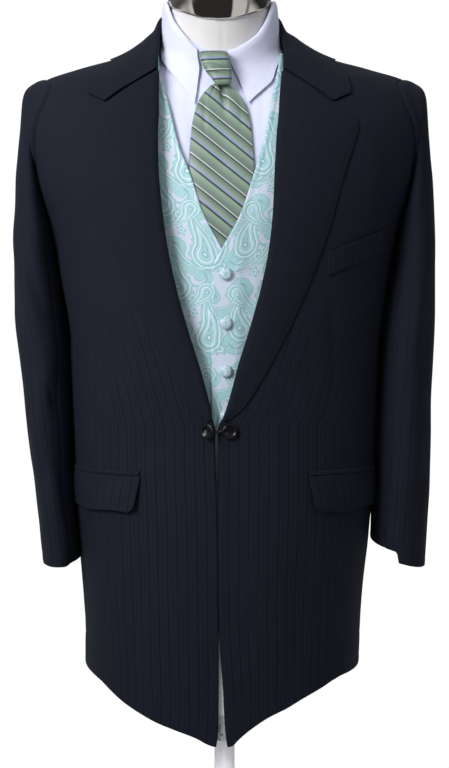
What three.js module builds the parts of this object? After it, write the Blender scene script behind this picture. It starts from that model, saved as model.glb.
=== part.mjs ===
// A dark pinstriped long suit coat worn over a mint waistcoat, a white shirt and a necktie, on a limbless dress form with a pole and a round base.
// Millimetres, +Z up, the front faces -Y, +X is the wearer's left. The origin is the centre of the base's underside.
import * as THREE from "three";

// ---------- driving sizes ----------
const CLOTH = 2.0; // wall of the coat cloth
const TRIM = 1.8; // wall of lapels, flaps and welts
const VEST_CLOTH = 1.8;
const SHIRT_CLOTH = 1.2;
const SEAM = 0.3; // gap at a seam, each side half of it
const CENTRE_FRONT = -9.5; // x of the line where the two fronts meet
const CLOSURE_Z = 992; // height of the linked buttons
const BUTTON_R = 9.5, BUTTON_T = 4;
const VEST_BUTTON_R = 7.5;
const POLE_R = 13, BASE_R = 200, BASE_T = 12;
const FORM_BOTTOM = 772;

const rad = (d) => (d * Math.PI) / 180;
const lerp = (a, b, t) => a + (b - a) * t;
const clamp = (x, a, b) => Math.min(b, Math.max(a, x));
const smooth = (t) => { t = clamp(t, 0, 1); return t * t * (3 - 2 * t); };

// Monotone cubic through a table: column x against column y.
function curve(xs, ys) {
  const n = xs.length, d = [], m = new Array(n);
  for (let i = 0; i < n - 1; i++) d.push((ys[i + 1] - ys[i]) / (xs[i + 1] - xs[i]));
  m[0] = d[0]; m[n - 1] = d[n - 2];
  for (let i = 1; i < n - 1; i++) {
    if (d[i - 1] * d[i] <= 0) m[i] = 0;
    else {
      const h0 = xs[i] - xs[i - 1], h1 = xs[i + 1] - xs[i], w0 = 2 * h1 + h0, w1 = h1 + 2 * h0;
      m[i] = (w0 + w1) / (w0 / d[i - 1] + w1 / d[i]);
    }
  }
  return (x) => {
    if (x <= xs[0]) return ys[0];
    if (x >= xs[n - 1]) return ys[n - 1];
    let i = 0; while (x > xs[i + 1]) i++;
    const h = xs[i + 1] - xs[i], t = (x - xs[i]) / h, t2 = t * t, t3 = t2 * t;
    return (2 * t3 - 3 * t2 + 1) * ys[i] + (t3 - 2 * t2 + t) * h * m[i] + (-2 * t3 + 3 * t2) * ys[i + 1] + (t3 - t2) * h * m[i + 1];
  };
}
const column = (rows, key) => rows.map((r) => r[key]);
function columns(rows, key) { // every other column as a curve over the column named key
  const out = {};
  for (const k of Object.keys(rows[0])) if (k !== key) out[k] = curve(column(rows, key), column(rows, k));
  return out;
}

// ---------- body sections ----------
// A section is a closed ring round the body: side, front and back are its heights there, half its half width, fore and aft its depths, mid and lean its centre's y and x, square its fullness.
const FORM_SECTIONS = [
  { side: 772, front: 772, back: 772, half: 148, fore: 98, aft: 110, mid: 4, lean: 0, square: 2.3 },
  { side: 850, front: 850, back: 850, half: 161, fore: 108, aft: 120, mid: 3, lean: 0, square: 2.3 },
  { side: 920, front: 920, back: 920, half: 162, fore: 110, aft: 116, mid: 2, lean: 0, square: 2.3 },
  { side: 1000, front: 1000, back: 1000, half: 154, fore: 112, aft: 105, mid: 0, lean: 0, square: 2.3 },
  { side: 1080, front: 1080, back: 1080, half: 151, fore: 114, aft: 102, mid: 0, lean: 0, square: 2.3 },
  { side: 1160, front: 1160, back: 1160, half: 160, fore: 118, aft: 108, mid: 0, lean: 0, square: 2.35 },
  { side: 1235, front: 1232, back: 1230, half: 172, fore: 119, aft: 116, mid: 0, lean: 0, square: 2.4 },
  { side: 1295, front: 1285, back: 1282, half: 186, fore: 113, aft: 120, mid: 0, lean: 0, square: 2.45 },
  { side: 1345, front: 1330, back: 1325, half: 198, fore: 103, aft: 116, mid: 0, lean: 0, square: 2.4 },
  { side: 1380, front: 1364, back: 1360, half: 200, fore: 90, aft: 105, mid: 0, lean: 0, square: 2.2 },
  { side: 1397, front: 1389, back: 1389, half: 184, fore: 79, aft: 93, mid: 0, lean: 0, square: 2.0 },
  { side: 1409, front: 1406, back: 1412, half: 150, fore: 70, aft: 81, mid: 0, lean: -1, square: 1.9 },
  { side: 1422, front: 1419, back: 1431, half: 114, fore: 62, aft: 72, mid: 0, lean: -2, square: 1.9 },
  { side: 1437, front: 1430, back: 1448, half: 84, fore: 58, aft: 65, mid: 0, lean: -3, square: 2.0 },
  { side: 1456, front: 1443, back: 1466, half: 67, fore: 57, aft: 59, mid: -2, lean: -4, square: 2.1 },
  { side: 1484, front: 1464, back: 1496, half: 63, fore: 59, aft: 56, mid: -6, lean: -5, square: 2.1 },
  { side: 1512, front: 1486, back: 1530, half: 62, fore: 60, aft: 55, mid: -12, lean: -6, square: 2.1 },
];
const COAT_SECTIONS = [
  { side: 684, front: 684, back: 688, half: 173, fore: 156, aft: 150, mid: 0, lean: -3, square: 2.3 },
  { side: 784, front: 784, back: 786, half: 178, fore: 155, aft: 151, mid: 0, lean: -2.5, square: 2.3 },
  { side: 860, front: 860, back: 860, half: 184, fore: 153, aft: 150, mid: 0, lean: -1, square: 2.3 },
  { side: 926, front: 926, back: 926, half: 189, fore: 148, aft: 144, mid: 0, lean: 0, square: 2.3 },
  { side: 992, front: 992, back: 992, half: 191, fore: 144, aft: 136, mid: 0, lean: 0, square: 2.3 },
  { side: 1085, front: 1085, back: 1085, half: 194, fore: 144, aft: 134, mid: 0, lean: 0, square: 2.35 },
  { side: 1165, front: 1165, back: 1163, half: 204, fore: 144, aft: 138, mid: 0, lean: 0, square: 2.45 },
  { side: 1238, front: 1232, back: 1230, half: 217, fore: 141, aft: 142, mid: 0, lean: 0, square: 2.7 },
  { side: 1302, front: 1290, back: 1285, half: 236, fore: 133, aft: 141, mid: 0, lean: 0, square: 3.0 },
  { side: 1358, front: 1340, back: 1334, half: 248, fore: 120, aft: 134, mid: 0, lean: 0, square: 3.0 },
  { side: 1395, front: 1374, back: 1370, half: 245, fore: 104, aft: 122, mid: 0, lean: 0, square: 2.6 },
  { side: 1415, front: 1398, back: 1402, half: 226, fore: 89, aft: 108, mid: 0, lean: 0, square: 2.2 },
  { side: 1429, front: 1416, back: 1429, half: 184, fore: 78, aft: 95, mid: 0, lean: -1, square: 1.95 },
  { side: 1441, front: 1430, back: 1447, half: 141, fore: 70, aft: 84, mid: 0, lean: -2, square: 1.9 },
  { side: 1451, front: 1440, back: 1460, half: 110, fore: 65, aft: 76, mid: 0, lean: -3, square: 1.95 },
  { side: 1464, front: 1450, back: 1472, half: 90, fore: 64, aft: 71, mid: 0, lean: -4, square: 2.0 },
  { side: 1477, front: 1459, back: 1484, half: 79, fore: 64, aft: 68, mid: 0, lean: -5, square: 2.1 },
  { side: 1497, front: 1476, back: 1508, half: 74, fore: 64, aft: 66, mid: -2, lean: -5, square: 2.1 },
];
// How far the hem of a front dips below its side, by the angle from the centre front, on the wearer's right and left.
const HEM_DIP = [
  { angle: 0, right: 74, left: 74 }, { angle: 4.4, right: 72, left: 72 }, { angle: 7.2, right: 69, left: 64.5 }, { angle: 11.2, right: 63, left: 55 }, { angle: 20.5, right: 54, left: 38 },
  { angle: 28, right: 47, left: 29 }, { angle: 35.6, right: 38, left: 19 }, { angle: 45, right: 26, left: 9 }, { angle: 51, right: 17, left: 3 }, { angle: 58, right: 8, left: 0 },
  { angle: 70, right: 2, left: 0 }, { angle: 82, right: 0, left: 0 }, { angle: 180, right: 0, left: 0 },
];

// The surface through the sections: angle in degrees (0 front, 90 wearer's left, 180 back), row counts sections from the lowest.
function body(sections, dip) {
  const rows = sections.map((s, i) => ({ ...s, row: i }));
  const c = columns(rows, "row");
  const dips = dip ? [curve(column(dip, "angle"), column(dip, "right")), curve(column(dip, "angle"), column(dip, "left"))] : [() => 0, () => 0];
  const drop = (angle) => dips[angle < 0 ? 0 : 1](Math.abs(angle));
  const at = (angle, row) => {
    const s = Math.sin(rad(angle)), k = Math.cos(rad(angle)), n = c.square(row), depth = k > 0 ? c.fore(row) : c.aft(row);
    const r = Math.pow(Math.pow(Math.abs(s) / c.half(row), n) + Math.pow(Math.abs(k) / depth, n), -1 / n);
    const z = c.side(row) + ((k > 0 ? c.front(row) : c.back(row)) - c.side(row)) * k * k;
    const low = Math.pow(clamp(1 - row / 3, 0, 1), 1.5);
    return new THREE.Vector3(r * s + c.lean(row), c.mid(row) - r * k, z - drop(((((angle + 180) % 360) + 360) % 360) - 180) * low);
  };
  const normal = (angle, row) => {
    const e = 0.02, top = sections.length - 1;
    const a = at(angle + 0.5, row).sub(at(angle - 0.5, row));
    const b = at(angle, Math.min(top, row + e)).sub(at(angle, Math.max(0, row - e)));
    return a.cross(b).normalize();
  };
  const point = (angle, row, off = 0) => at(angle, row).addScaledVector(normal(angle, row), off);
  // The angle at which a row reaches x on the front, and the row at which that point has height z.
  const angleOfX = (x, row) => {
    let lo = -90, hi = 90;
    for (let i = 0; i < 40; i++) { const m = (lo + hi) / 2; if (at(m, row).x < x) lo = m; else hi = m; }
    return (lo + hi) / 2;
  };
  const find = (x, z, lo = 0, hi = sections.length - 1) => {
    for (let i = 0; i < 40; i++) { const m = (lo + hi) / 2; if (at(angleOfX(x, m), m).z < z) lo = m; else hi = m; }
    const row = (lo + hi) / 2;
    return { angle: angleOfX(x, row), row };
  };
  const rowOfZ = (z, angle) => {
    let lo = 0, hi = sections.length - 1;
    for (let i = 0; i < 40; i++) { const m = (lo + hi) / 2; if (at(angle, m).z < z) lo = m; else hi = m; }
    return (lo + hi) / 2;
  };
  return { at, normal, point, angleOfX, find, rowOfZ, top: sections.length - 1 };
}
const FORM = body(FORM_SECTIONS);
const COAT = body(COAT_SECTIONS, HEM_DIP);

// ---------- solids ----------
const group = new THREE.Group();
const material = (color, roughness, metalness = 0) => new THREE.MeshStandardMaterial({ color, roughness, metalness });
const MATERIALS = {
  coat: material(0x11151d, 0.8), vest: material(0xa9cfc8, 0.45), shirt: material(0xe6e6f2, 0.75), tie: material(0x6f8a74, 0.5),
  form: material(0xcfc8c2, 0.85), chrome: material(0xc8c8c8, 0.15, 1), stand: material(0xe4e4ea, 0.45), button: material(0x0a0a0c, 0.3),
};
function add(name, geometry, look) {
  const mesh = new THREE.Mesh(geometry, MATERIALS[look]);
  mesh.name = name;
  group.add(mesh);
}
function geometryOf(points, faces) {
  let volume = 0;
  for (const [a, b, c] of faces) volume += points[a].dot(new THREE.Vector3().crossVectors(points[b], points[c]));
  const g = new THREE.BufferGeometry();
  g.setAttribute("position", new THREE.Float32BufferAttribute(points.flatMap((p) => [p.x, p.y, p.z]), 3));
  g.setIndex(faces.flatMap(([a, b, c]) => (volume > 0 ? [a, b, c] : [a, c, b])));
  g.computeVertexNormals();
  return g;
}
// A wall of cloth: face(u, v, side) gives the inner (0) and outer (1) point over a grid of nu by nv cells.
function wall(face, nu, nv) {
  const points = [], faces = [], id = (s, i, j) => s * (nu + 1) * (nv + 1) + j * (nu + 1) + i;
  for (const s of [0, 1]) for (let j = 0; j <= nv; j++) for (let i = 0; i <= nu; i++) points.push(face(i / nu, j / nv, s));
  const quad = (a, b, c, d) => {
    if (points[a].distanceTo(points[c]) <= points[b].distanceTo(points[d])) faces.push([a, b, c], [a, c, d]);
    else faces.push([b, c, d], [b, d, a]);
  };
  for (let j = 0; j < nv; j++) for (let i = 0; i < nu; i++) {
    quad(id(1, i, j), id(1, i + 1, j), id(1, i + 1, j + 1), id(1, i, j + 1));
    quad(id(0, i, j + 1), id(0, i + 1, j + 1), id(0, i + 1, j), id(0, i, j));
  }
  for (let i = 0; i < nu; i++) {
    quad(id(0, i, 0), id(0, i + 1, 0), id(1, i + 1, 0), id(1, i, 0));
    quad(id(1, i, nv), id(1, i + 1, nv), id(0, i + 1, nv), id(0, i, nv));
  }
  for (let j = 0; j < nv; j++) {
    quad(id(1, 0, j), id(1, 0, j + 1), id(0, 0, j + 1), id(0, 0, j));
    quad(id(0, nu, j), id(0, nu, j + 1), id(1, nu, j + 1), id(1, nu, j));
  }
  return geometryOf(points, faces);
}
// A solid lofted through closed rings of points, with flat fans at both ends.
function loft(rings) {
  const n = rings[0].length, points = rings.flat(), faces = [];
  for (let j = 0; j < rings.length - 1; j++) for (let i = 0; i < n; i++) {
    const a = j * n + i, b = j * n + ((i + 1) % n), c = b + n, d = a + n;
    faces.push([a, b, c], [a, c, d]);
  }
  for (const [j, flip] of [[0, true], [rings.length - 1, false]]) {
    const centre = new THREE.Vector3();
    rings[j].forEach((p) => centre.addScaledVector(p, 1 / n));
    points.push(centre);
    const m = points.length - 1;
    for (let i = 0; i < n; i++) { const a = j * n + i, b = j * n + ((i + 1) % n); faces.push(flip ? [m, b, a] : [m, a, b]); }
  }
  return geometryOf(points, faces);
}
// A panel between two edges on a body surface. left(row) and right(row) give angles, rows lists the section rows of its grid lines.
function panel(surface, rows, left, right, nu, inner, outer) {
  const nv = rows.length - 1;
  return wall((u, v, side) => {
    const row = rows[Math.round(v * nv)];
    const angle = lerp(left(row), right(row), u);
    const off = side ? outer : inner;
    return surface.point(angle, row, typeof off === "function" ? off(angle, row) : off);
  }, nu, nv);
}
const seamAngle = (row, surface) => SEAM / 2 / Math.max(40, Math.hypot(surface.at(90, row).x, 0)) * 57.3;

// ---------- the coat's body ----------
// Half gap between the fronts, or the roll line of the lapel, as x from the centre front by height.
const FRONT_EDGE = [
  { z: 600, x: 10 }, { z: 616, x: 6.6 }, { z: 640, x: 4.6 }, { z: 675, x: 3.5 }, { z: 728, x: 1.6 }, { z: 776, x: 0.7 }, { z: 860, x: 0.6 }, { z: 915, x: 1.6 }, { z: 945, x: 2.4 }, { z: 975, x: 2.6 }, { z: 992, x: 2.2 },
  { z: 1000, x: 4.4 }, { z: 1006, x: 7.2 }, { z: 1016, x: 11 }, { z: 1028, x: 14.6 }, { z: 1059, x: 22.8 }, { z: 1102, x: 36 }, { z: 1141, x: 48.5 }, { z: 1206, x: 62 }, { z: 1260, x: 69 }, { z: 1312, x: 72 }, { z: 1360, x: 74 },
  { z: 1400, x: 76 }, { z: 1440, x: 77 }, { z: 1470, x: 78 }, { z: 1500, x: 74 },
];
const frontEdge = curve(column(FRONT_EDGE, "z"), column(FRONT_EDGE, "x"));
// The angle at which point(angle, row) reaches the line x = line(z).
function angleOnLine(point, row, line) {
  let lo = -90, hi = 90;
  for (let i = 0; i < 40; i++) {
    const m = (lo + hi) / 2, p = point(m, row);
    if (p.x < line(p.z)) lo = m; else hi = m;
  }
  return (lo + hi) / 2;
}
// The opening leans towards the wearer's right: shift is the x of its middle by height.
const FRONT_SHIFT = [
  { z: 616, shift: -3.2 }, { z: 675, shift: -4.2 }, { z: 728, shift: -6.2 }, { z: 776, shift: -7.4 }, { z: 900, shift: -8.4 }, { z: 992, shift: CENTRE_FRONT }, { z: 1004, shift: -8.6 }, { z: 1020, shift: -6.8 }, { z: 1040, shift: -6.6 }, { z: 1090, shift: -6.9 }, { z: 1180, shift: -7 }, { z: 1240, shift: -7.8 }, { z: 1300, shift: -9.2 },
  { z: 1342, shift: -8.6 }, { z: 1368, shift: -6.8 }, { z: 1392, shift: -6.2 }, { z: 1420, shift: -5 }, { z: 1450, shift: -4.2 }, { z: 1500, shift: -4 },
];
const frontShift = curve(column(FRONT_SHIFT, "z"), column(FRONT_SHIFT, "shift"));
const edgeAngle = (row, side) => angleOnLine(COAT.at, row, (z) => side * frontEdge(z) + frontShift(z));
// The armhole: an oval round the side, in rows and degrees from the side.
const ARM = { low: 7.3, high: 11.1, front: 17, back: 19 };
function armWidth(arm, row, part) {
  const t = (row - (arm.low + arm.high) / 2) / ((arm.high - arm.low) / 2);
  return Math.abs(t) >= 1 ? 0 : arm[part] * Math.pow(1 - Math.pow(Math.abs(t), 2.2), 1 / 2.2);
}
const SIDE_SEAM = 96; // the side seam's angle, a little behind the side; at the armhole and above it is at 90
const sideSeam = (row) => lerp(SIDE_SEAM, 90, smooth((row - 5) / 2.3));
const COAT_ROWS = [0, 0.4, 1, 2, 3, 4, 4.6, 5.4, 6.2, 6.8, 7.3, 7.5, 8.1, 8.8, 9.5, 10.1, 10.6, 10.95, 11.1, 11.6, 12.2, 13, 14, 15, 15.9];
for (const [name, side] of [["R", -1], ["L", 1]]) {
  add("coat_front_" + name, panel(COAT, COAT_ROWS,
    (row) => edgeAngle(row, side),
    (row) => side * (sideSeam(row) - armWidth(ARM, row, "front") - seamAngle(row, COAT)), 11, 0, CLOTH), "coat");
  add("coat_back_" + name, panel(COAT, COAT_ROWS,
    (row) => side * (sideSeam(row) + armWidth(ARM, row, "back") + seamAngle(row, COAT)),
    (row) => side * (180 - seamAngle(row, COAT)), 7, 0, CLOTH), "coat");
}

// ---------- lapels and collar ----------
const LAPEL_OUT = 3.6; // how far the lapel's underside stands off the coat's surface
// Outline of the lapel in the front view: along runs from the closure to the notch, roll is its folded edge, edge its free edge.
const LAPEL = [
  { along: 0, rollX: 6.8, rollZ: 1004, edgeX: 11.5, edgeZ: 1002.5 },
  { along: 0.08, rollX: 12, rollZ: 1018, edgeX: 25, edgeZ: 1014 },
  { along: 0.2, rollX: 25, rollZ: 1066, edgeX: 52, edgeZ: 1054 },
  { along: 0.33, rollX: 39.6, rollZ: 1113, edgeX: 79, edgeZ: 1104 },
  { along: 0.48, rollX: 53, rollZ: 1162, edgeX: 105, edgeZ: 1162 },
  { along: 0.64, rollX: 65, rollZ: 1225, edgeX: 130, edgeZ: 1228 },
  { along: 0.78, rollX: 71, rollZ: 1290, edgeX: 151, edgeZ: 1296 },
  { along: 0.88, rollX: 73.5, rollZ: 1345, edgeX: 168, edgeZ: 1353 },
  { along: 1, rollX: 76.5, rollZ: 1419.5, edgeX: 136, edgeZ: 1379.5 },
];
const lapel = columns(LAPEL, "along");
const LAPEL_ROWS = [0, 0.08, 0.17, 0.26, 0.36, 0.46, 0.56, 0.66, 0.74, 0.81, 0.88, 0.92, 0.95, 0.975, 1];
function onFront(x, z, off) {
  const f = COAT.find(x, z, 3, COAT.top);
  return COAT.point(f.angle, f.row, off);
}
for (const [name, side] of [["R", -1], ["L", 1]]) {
  const shift = frontShift;
  const nv = LAPEL_ROWS.length - 1;
  add("coat_lapel_" + name, wall((u, v, face) => {
    const a = LAPEL_ROWS[Math.round(v * nv)], x = lerp(lapel.rollX(a), lapel.edgeX(a), u), z = lerp(lapel.rollZ(a), lapel.edgeZ(a), u);
    return onFront(side * x + shift(z), z, LAPEL_OUT + face * TRIM);
  }, 5, nv), "coat");
}
// The collar's fall, from the notch round the back of the neck: fold is its upper edge, fall its outer edge. Its front end is at the gorge.
const COLLAR_EDGE = [
  { along: 0.16, foldAngle: 66, foldRow: 14.9, fallAngle: 77, fallRow: 12.7 },
  { along: 0.32, foldAngle: 86, foldRow: 16.6, fallAngle: 93, fallRow: 13.1 },
  { along: 0.52, foldAngle: 112, foldRow: 17, fallAngle: 118, fallRow: 13.3 },
  { along: 0.76, foldAngle: 146, foldRow: 17, fallAngle: 149, fallRow: 13.2 },
  { along: 1, foldAngle: 180, foldRow: 17, fallAngle: 180, fallRow: 13.1 },
];
function atFront(side, x, z) {
  const f = COAT.find(side * x + frontShift(z), z, 3, COAT.top);
  return { angle: side * f.angle, row: f.row };
}
const collars = [-1, 1].map((side) => {
  const gorge = atFront(side, 77, 1424.5), corner = atFront(side, 157, 1392), notch = atFront(side, 136.5, 1382.5);
  return { gorge, corner, notch, edge: columns([{ along: 0, foldAngle: gorge.angle, foldRow: gorge.row, fallAngle: corner.angle, fallRow: corner.row }, ...COLLAR_EDGE], "along") };
});
function collarPoint(side, s, w, off) {
  // w runs from the fold to the outer edge; the front end of the strip bends through the notch
  const { gorge, corner, notch, edge } = collars[side < 0 ? 0 : 1];
  let angle = lerp(edge.foldAngle(s), edge.fallAngle(s), w), row = lerp(edge.foldRow(s), edge.fallRow(s), w);
  const k = Math.pow(1 - clamp(s / 0.16, 0, 1), 1.5), bend = 1 - Math.abs(w - 0.75) / (w < 0.75 ? 0.75 : 0.25);
  angle += k * bend * (notch.angle - lerp(gorge.angle, corner.angle, 0.75));
  row += k * bend * (notch.row - lerp(gorge.row, corner.row, 0.75));
  return COAT.point(side * angle, row, off);
}
const COLLAR_STEPS = 11;
add("coat_collar", wall((u, v, face) => {
  return collarPoint(u < 0.5 ? -1 : 1, Math.pow(1 - Math.abs(2 * u - 1), 1.3), v, LAPEL_OUT + 1.3 + face * TRIM);
}, COLLAR_STEPS * 2, 5), "coat");
// The stand inside the fold, from the neck seam up.
add("coat_collar_stand", wall((u, v, face) => {
  const angle = lerp(-82, -278, u), top = lerp(16.5, 16.95, smooth((Math.min(u, 1 - u)) / 0.15));
  return COAT.point(angle, lerp(15.96, top, v), face * CLOTH);
}, 14, 1), "coat");

// ---------- pockets ----------
const TRIM_OUT = CLOTH + 1;
for (const [name, side] of [["R", -1], ["L", 1]]) {
  const from = 37.5, to = 76;
  add("coat_flap_" + name, wall((u, v, face) => {
    const angle = side * lerp(from + 1.5 * (1 - v), to, u), z = lerp(892, 934, v) + lerp(0, -2, u);
    const lift = TRIM_OUT + (1 - v) * (1 - u) * 2.2;
    return COAT.point(angle, COAT.rowOfZ(z, angle), lift + face * TRIM);
  }, 6, 1), "coat");
  add("coat_welt_" + name, wall((u, v, face) => {
    const angle = side * lerp(from + 0.5, to, u), z = lerp(934.6, 940.5, v) + lerp(0, -2, u);
    return COAT.point(angle, COAT.rowOfZ(z, angle), TRIM_OUT + face * 1.6);
  }, 6, 1), "coat");
}
add("coat_breast_welt", wall((u, v, face) => {
  const x = lerp(122.5, 193.5, u), z = lerp(lerp(1176, 1203, v), lerp(1206, 1231, v), u);
  return onFront(x, z, TRIM_OUT + 0.6 * u + face * TRIM);
}, 5, 1), "coat");

// ---------- sleeves ----------
// One row for each section: inner and outer are its x nearest and furthest from the body, fore and aft its y limits, z its height, tip how much lower its outer side is, turn its twist in degrees.
const SLEEVES = {
  R: [
    { step: 1, inner: 213, outer: 252, fore: -66, aft: 72, z: 1328, tip: -66, turn: 0, square: 2.2 },
    { step: 2, inner: 208, outer: 262, fore: -72, aft: 76, z: 1262, tip: -46, turn: 0, square: 2.2 },
    { step: 3, inner: 206, outer: 266, fore: -74, aft: 76, z: 1196, tip: -14, turn: 0, square: 2.2 },
    { step: 4, inner: 202, outer: 265.5, fore: -74, aft: 72, z: 1130, tip: 0, turn: 0, square: 2.2 },
    { step: 5, inner: 194, outer: 258, fore: -75, aft: 66, z: 1067, tip: 0, turn: 0, square: 2.2 },
    { step: 6, inner: 191, outer: 251, fore: -77, aft: 60, z: 1010, tip: 0, turn: 0, square: 2.2 },
    { step: 7, inner: 190, outer: 244, fore: -79, aft: 53, z: 950, tip: 0, turn: 0, square: 2.2 },
    { step: 8, inner: 187, outer: 237, fore: -81, aft: 47, z: 890, tip: 0, turn: 0, square: 2.2 },
    { step: 9, inner: 182, outer: 228, fore: -84, aft: 42, z: 816, tip: 0, turn: 0, square: 2.2 },
  ],
  L: [
    { step: 1, inner: 213, outer: 252, fore: -66, aft: 72, z: 1328, tip: -66, turn: 0, square: 2.2 },
    { step: 2, inner: 208, outer: 261, fore: -72, aft: 76, z: 1262, tip: -46, turn: 0, square: 2.2 },
    { step: 3, inner: 204, outer: 266, fore: -74, aft: 76, z: 1196, tip: -14, turn: 0, square: 2.2 },
    { step: 4, inner: 200, outer: 265.5, fore: -74, aft: 72, z: 1130, tip: 0, turn: 0, square: 2.2 },
    { step: 5, inner: 194, outer: 263, fore: -75, aft: 66, z: 1067, tip: 0, turn: 0, square: 2.2 },
    { step: 6, inner: 192, outer: 260, fore: -77, aft: 60, z: 1010, tip: 0, turn: 0, square: 2.2 },
    { step: 7, inner: 192, outer: 259, fore: -79, aft: 53, z: 950, tip: 0, turn: 0, square: 2.2 },
    { step: 8, inner: 192, outer: 257, fore: -81, aft: 47, z: 893, tip: 5, turn: 0, square: 2.2 },
    { step: 9, inner: 191, outer: 252, fore: -84, aft: 42, z: 820, tip: 9, turn: 0, square: 2.2 },
  ],
};
// The armhole's seam line on the coat, as the sleeve meets it: 0 at the shoulder, 90 in front, 180 under the arm.
function armhole(side, around, off) {
  const s = Math.sin(rad(around)), k = Math.cos(rad(around)), p = 2 / 2.2, low = ARM.low + 0.075, high = ARM.high - 0.06;
  const row = (low + high) / 2 + ((high - low) / 2) * Math.sign(k) * Math.pow(Math.abs(k), p);
  const width = ((s > 0 ? ARM.front : ARM.back) - 0.12) * Math.sign(s) * Math.pow(Math.abs(s), p);
  return COAT.point(side * (90 - width), row, off);
}
const bodyHalf = (side, z) => Math.max(...[70, 80, 90, 100, 110].map((a) => side * COAT.at(side * a, COAT.rowOfZ(z, side * a)).x));
function sleeve(side) {
  const c = columns(SLEEVES[side < 0 ? "R" : "L"], "step");
  const section = (around, step) => {
    const s = Math.sin(rad(around)), k = Math.cos(rad(around)), n = c.square(step);
    const low = c.z(step) + c.tip(step), inner = Math.max(c.inner(step), bodyHalf(side, low) + 4.2 + 3.4 * Math.exp(-Math.pow((low - 922) / 42, 2)));
    const cx = (inner + c.outer(step)) / 2, hx = (c.outer(step) - inner) / 2;
    const cy = (c.fore(step) + c.aft(step)) / 2, hy = (c.aft(step) - c.fore(step)) / 2;
    const r = Math.pow(Math.pow(Math.abs(s), n) + Math.pow(Math.abs(k), n), -1 / n);
    const a = k * r * hx, b = -s * r * hy, t = rad(c.turn(step));
    return new THREE.Vector3(side * (cx + a * Math.cos(t) - b * Math.sin(t)), cy + a * Math.sin(t) + b * Math.cos(t), c.z(step) - c.tip(step) * (k * r));
  };
  const at = (around, step) => {
    if (step >= 1) return section(around, step);
    const near = armhole(side, around, CLOTH * 0.5), far = section(around, 1), slope = section(around, 1.5).sub(section(around, 1)).multiplyScalar(2);
    // leaves the seam square to the armhole and joins the first section smoothly
    const k = Math.cos(rad(around)), f = Math.sin(rad(around));
    const out = new THREE.Vector3(side, -0.25 * f, k > 0 ? 0.35 * k : 0.8 * k).normalize().multiplyScalar(k > 0 ? lerp(20, 15, k) : lerp(20, 6, -k));
    const t = step, t2 = t * t, t3 = t2 * t;
    return near.clone().multiplyScalar(2 * t3 - 3 * t2 + 1).addScaledVector(out, t3 - 2 * t2 + t).addScaledVector(far, -2 * t3 + 3 * t2).addScaledVector(slope, t3 - t2);
  };
  const normal = (around, step) => {
    const a = at(around + 1, step).sub(at(around - 1, step)), b = at(around, Math.min(9, step + 0.03)).sub(at(around, Math.max(0, step - 0.03)));
    return a.cross(b).multiplyScalar(side > 0 ? 1 : -1).normalize();
  };
  return { at, point: (around, step, off) => at(around, step).addScaledVector(normal(around, step), off) };
}
const SLEEVE_STEPS = [0.05, 0.25, 0.6, 1, 1.6, 2.3, 3.2, 4.2, 5.4, 7, 9];
// seams of the two-piece sleeve: the upper sleeve runs from the front seam over the outside to the back seam
const FRONT_SEAM = 128, BACK_SEAM = -118;
for (const [name, side] of [["R", -1], ["L", 1]]) {
  const s = sleeve(side), nv = SLEEVE_STEPS.length - 1, gap = (step) => 0.6 + 2.2 * Math.exp(-1.3 * step);
  const strip = (from, to, nu) => wall((u, v, face) => {
    const step = SLEEVE_STEPS[Math.round(v * nv)];
    return s.point(lerp(from + gap(step), to - gap(step), u), step, -CLOTH / 2 + face * CLOTH);
  }, nu, nv);
  add("coat_sleeve_upper_" + name, strip(BACK_SEAM, FRONT_SEAM, 13), "coat");
  add("coat_sleeve_under_" + name, strip(FRONT_SEAM, 360 + BACK_SEAM, 7), "coat");
}

// ---------- shirt ----------
const FORM_ARM = { low: 6.95, high: 10.35, front: 19, back: 21 };
const SHIRT_OFF = 1.6;
const FORM_ROWS = [1, 2, 3, 4, 5.5, 6.95, 7.2, 8, 9, 9.8, 10.35, 11.2, 12.2, 13.2, 14.1];
for (const [name, side] of [["R", -1], ["L", 1]]) {
  add("shirt_front_" + name, panel(FORM, FORM_ROWS,
    (row) => side * seamAngle(row, FORM),
    (row) => side * (90 - armWidth(FORM_ARM, row, "front") - seamAngle(row, FORM)), 5, SHIRT_OFF, SHIRT_OFF + SHIRT_CLOTH), "shirt");
}
add("shirt_back", panel(FORM, FORM_ROWS,
  (row) => 90 + armWidth(FORM_ARM, row, "back") + seamAngle(row, FORM),
  (row) => 270 - armWidth(FORM_ARM, row, "back") - seamAngle(row, FORM), 10, SHIRT_OFF, SHIRT_OFF + SHIRT_CLOTH), "shirt");
// The collar opens round the knot: STAND_TOP is the folded edge's row by angle from the front.
const OPEN = { right: -31, left: 4 }; // x of the collar's two front ends
const STAND_TOP = [
  { angle: 0, row: 14.38 }, { angle: 20, row: 14.4 }, { angle: 35, row: 14.64 }, { angle: 47, row: 14.98 }, { angle: 60, row: 15.38 }, { angle: 75, row: 15.78 }, { angle: 90, row: 15.93 }, { angle: 105, row: 15.93 }, { angle: 140, row: 15.7 }, { angle: 180, row: 15.6 },
];
const standTop = curve(column(STAND_TOP, "angle"), column(STAND_TOP, "row"));
add("shirt_collar_stand", wall((u, v, face) => {
  const angle = lerp(0.3, 359.7, u), a = Math.min(angle, 360 - angle);
  return FORM.point(angle, lerp(14.16, standTop(a) - 0.06, v), 2.0 + face * SHIRT_CLOTH);
}, 24, 1), "shirt");
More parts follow.
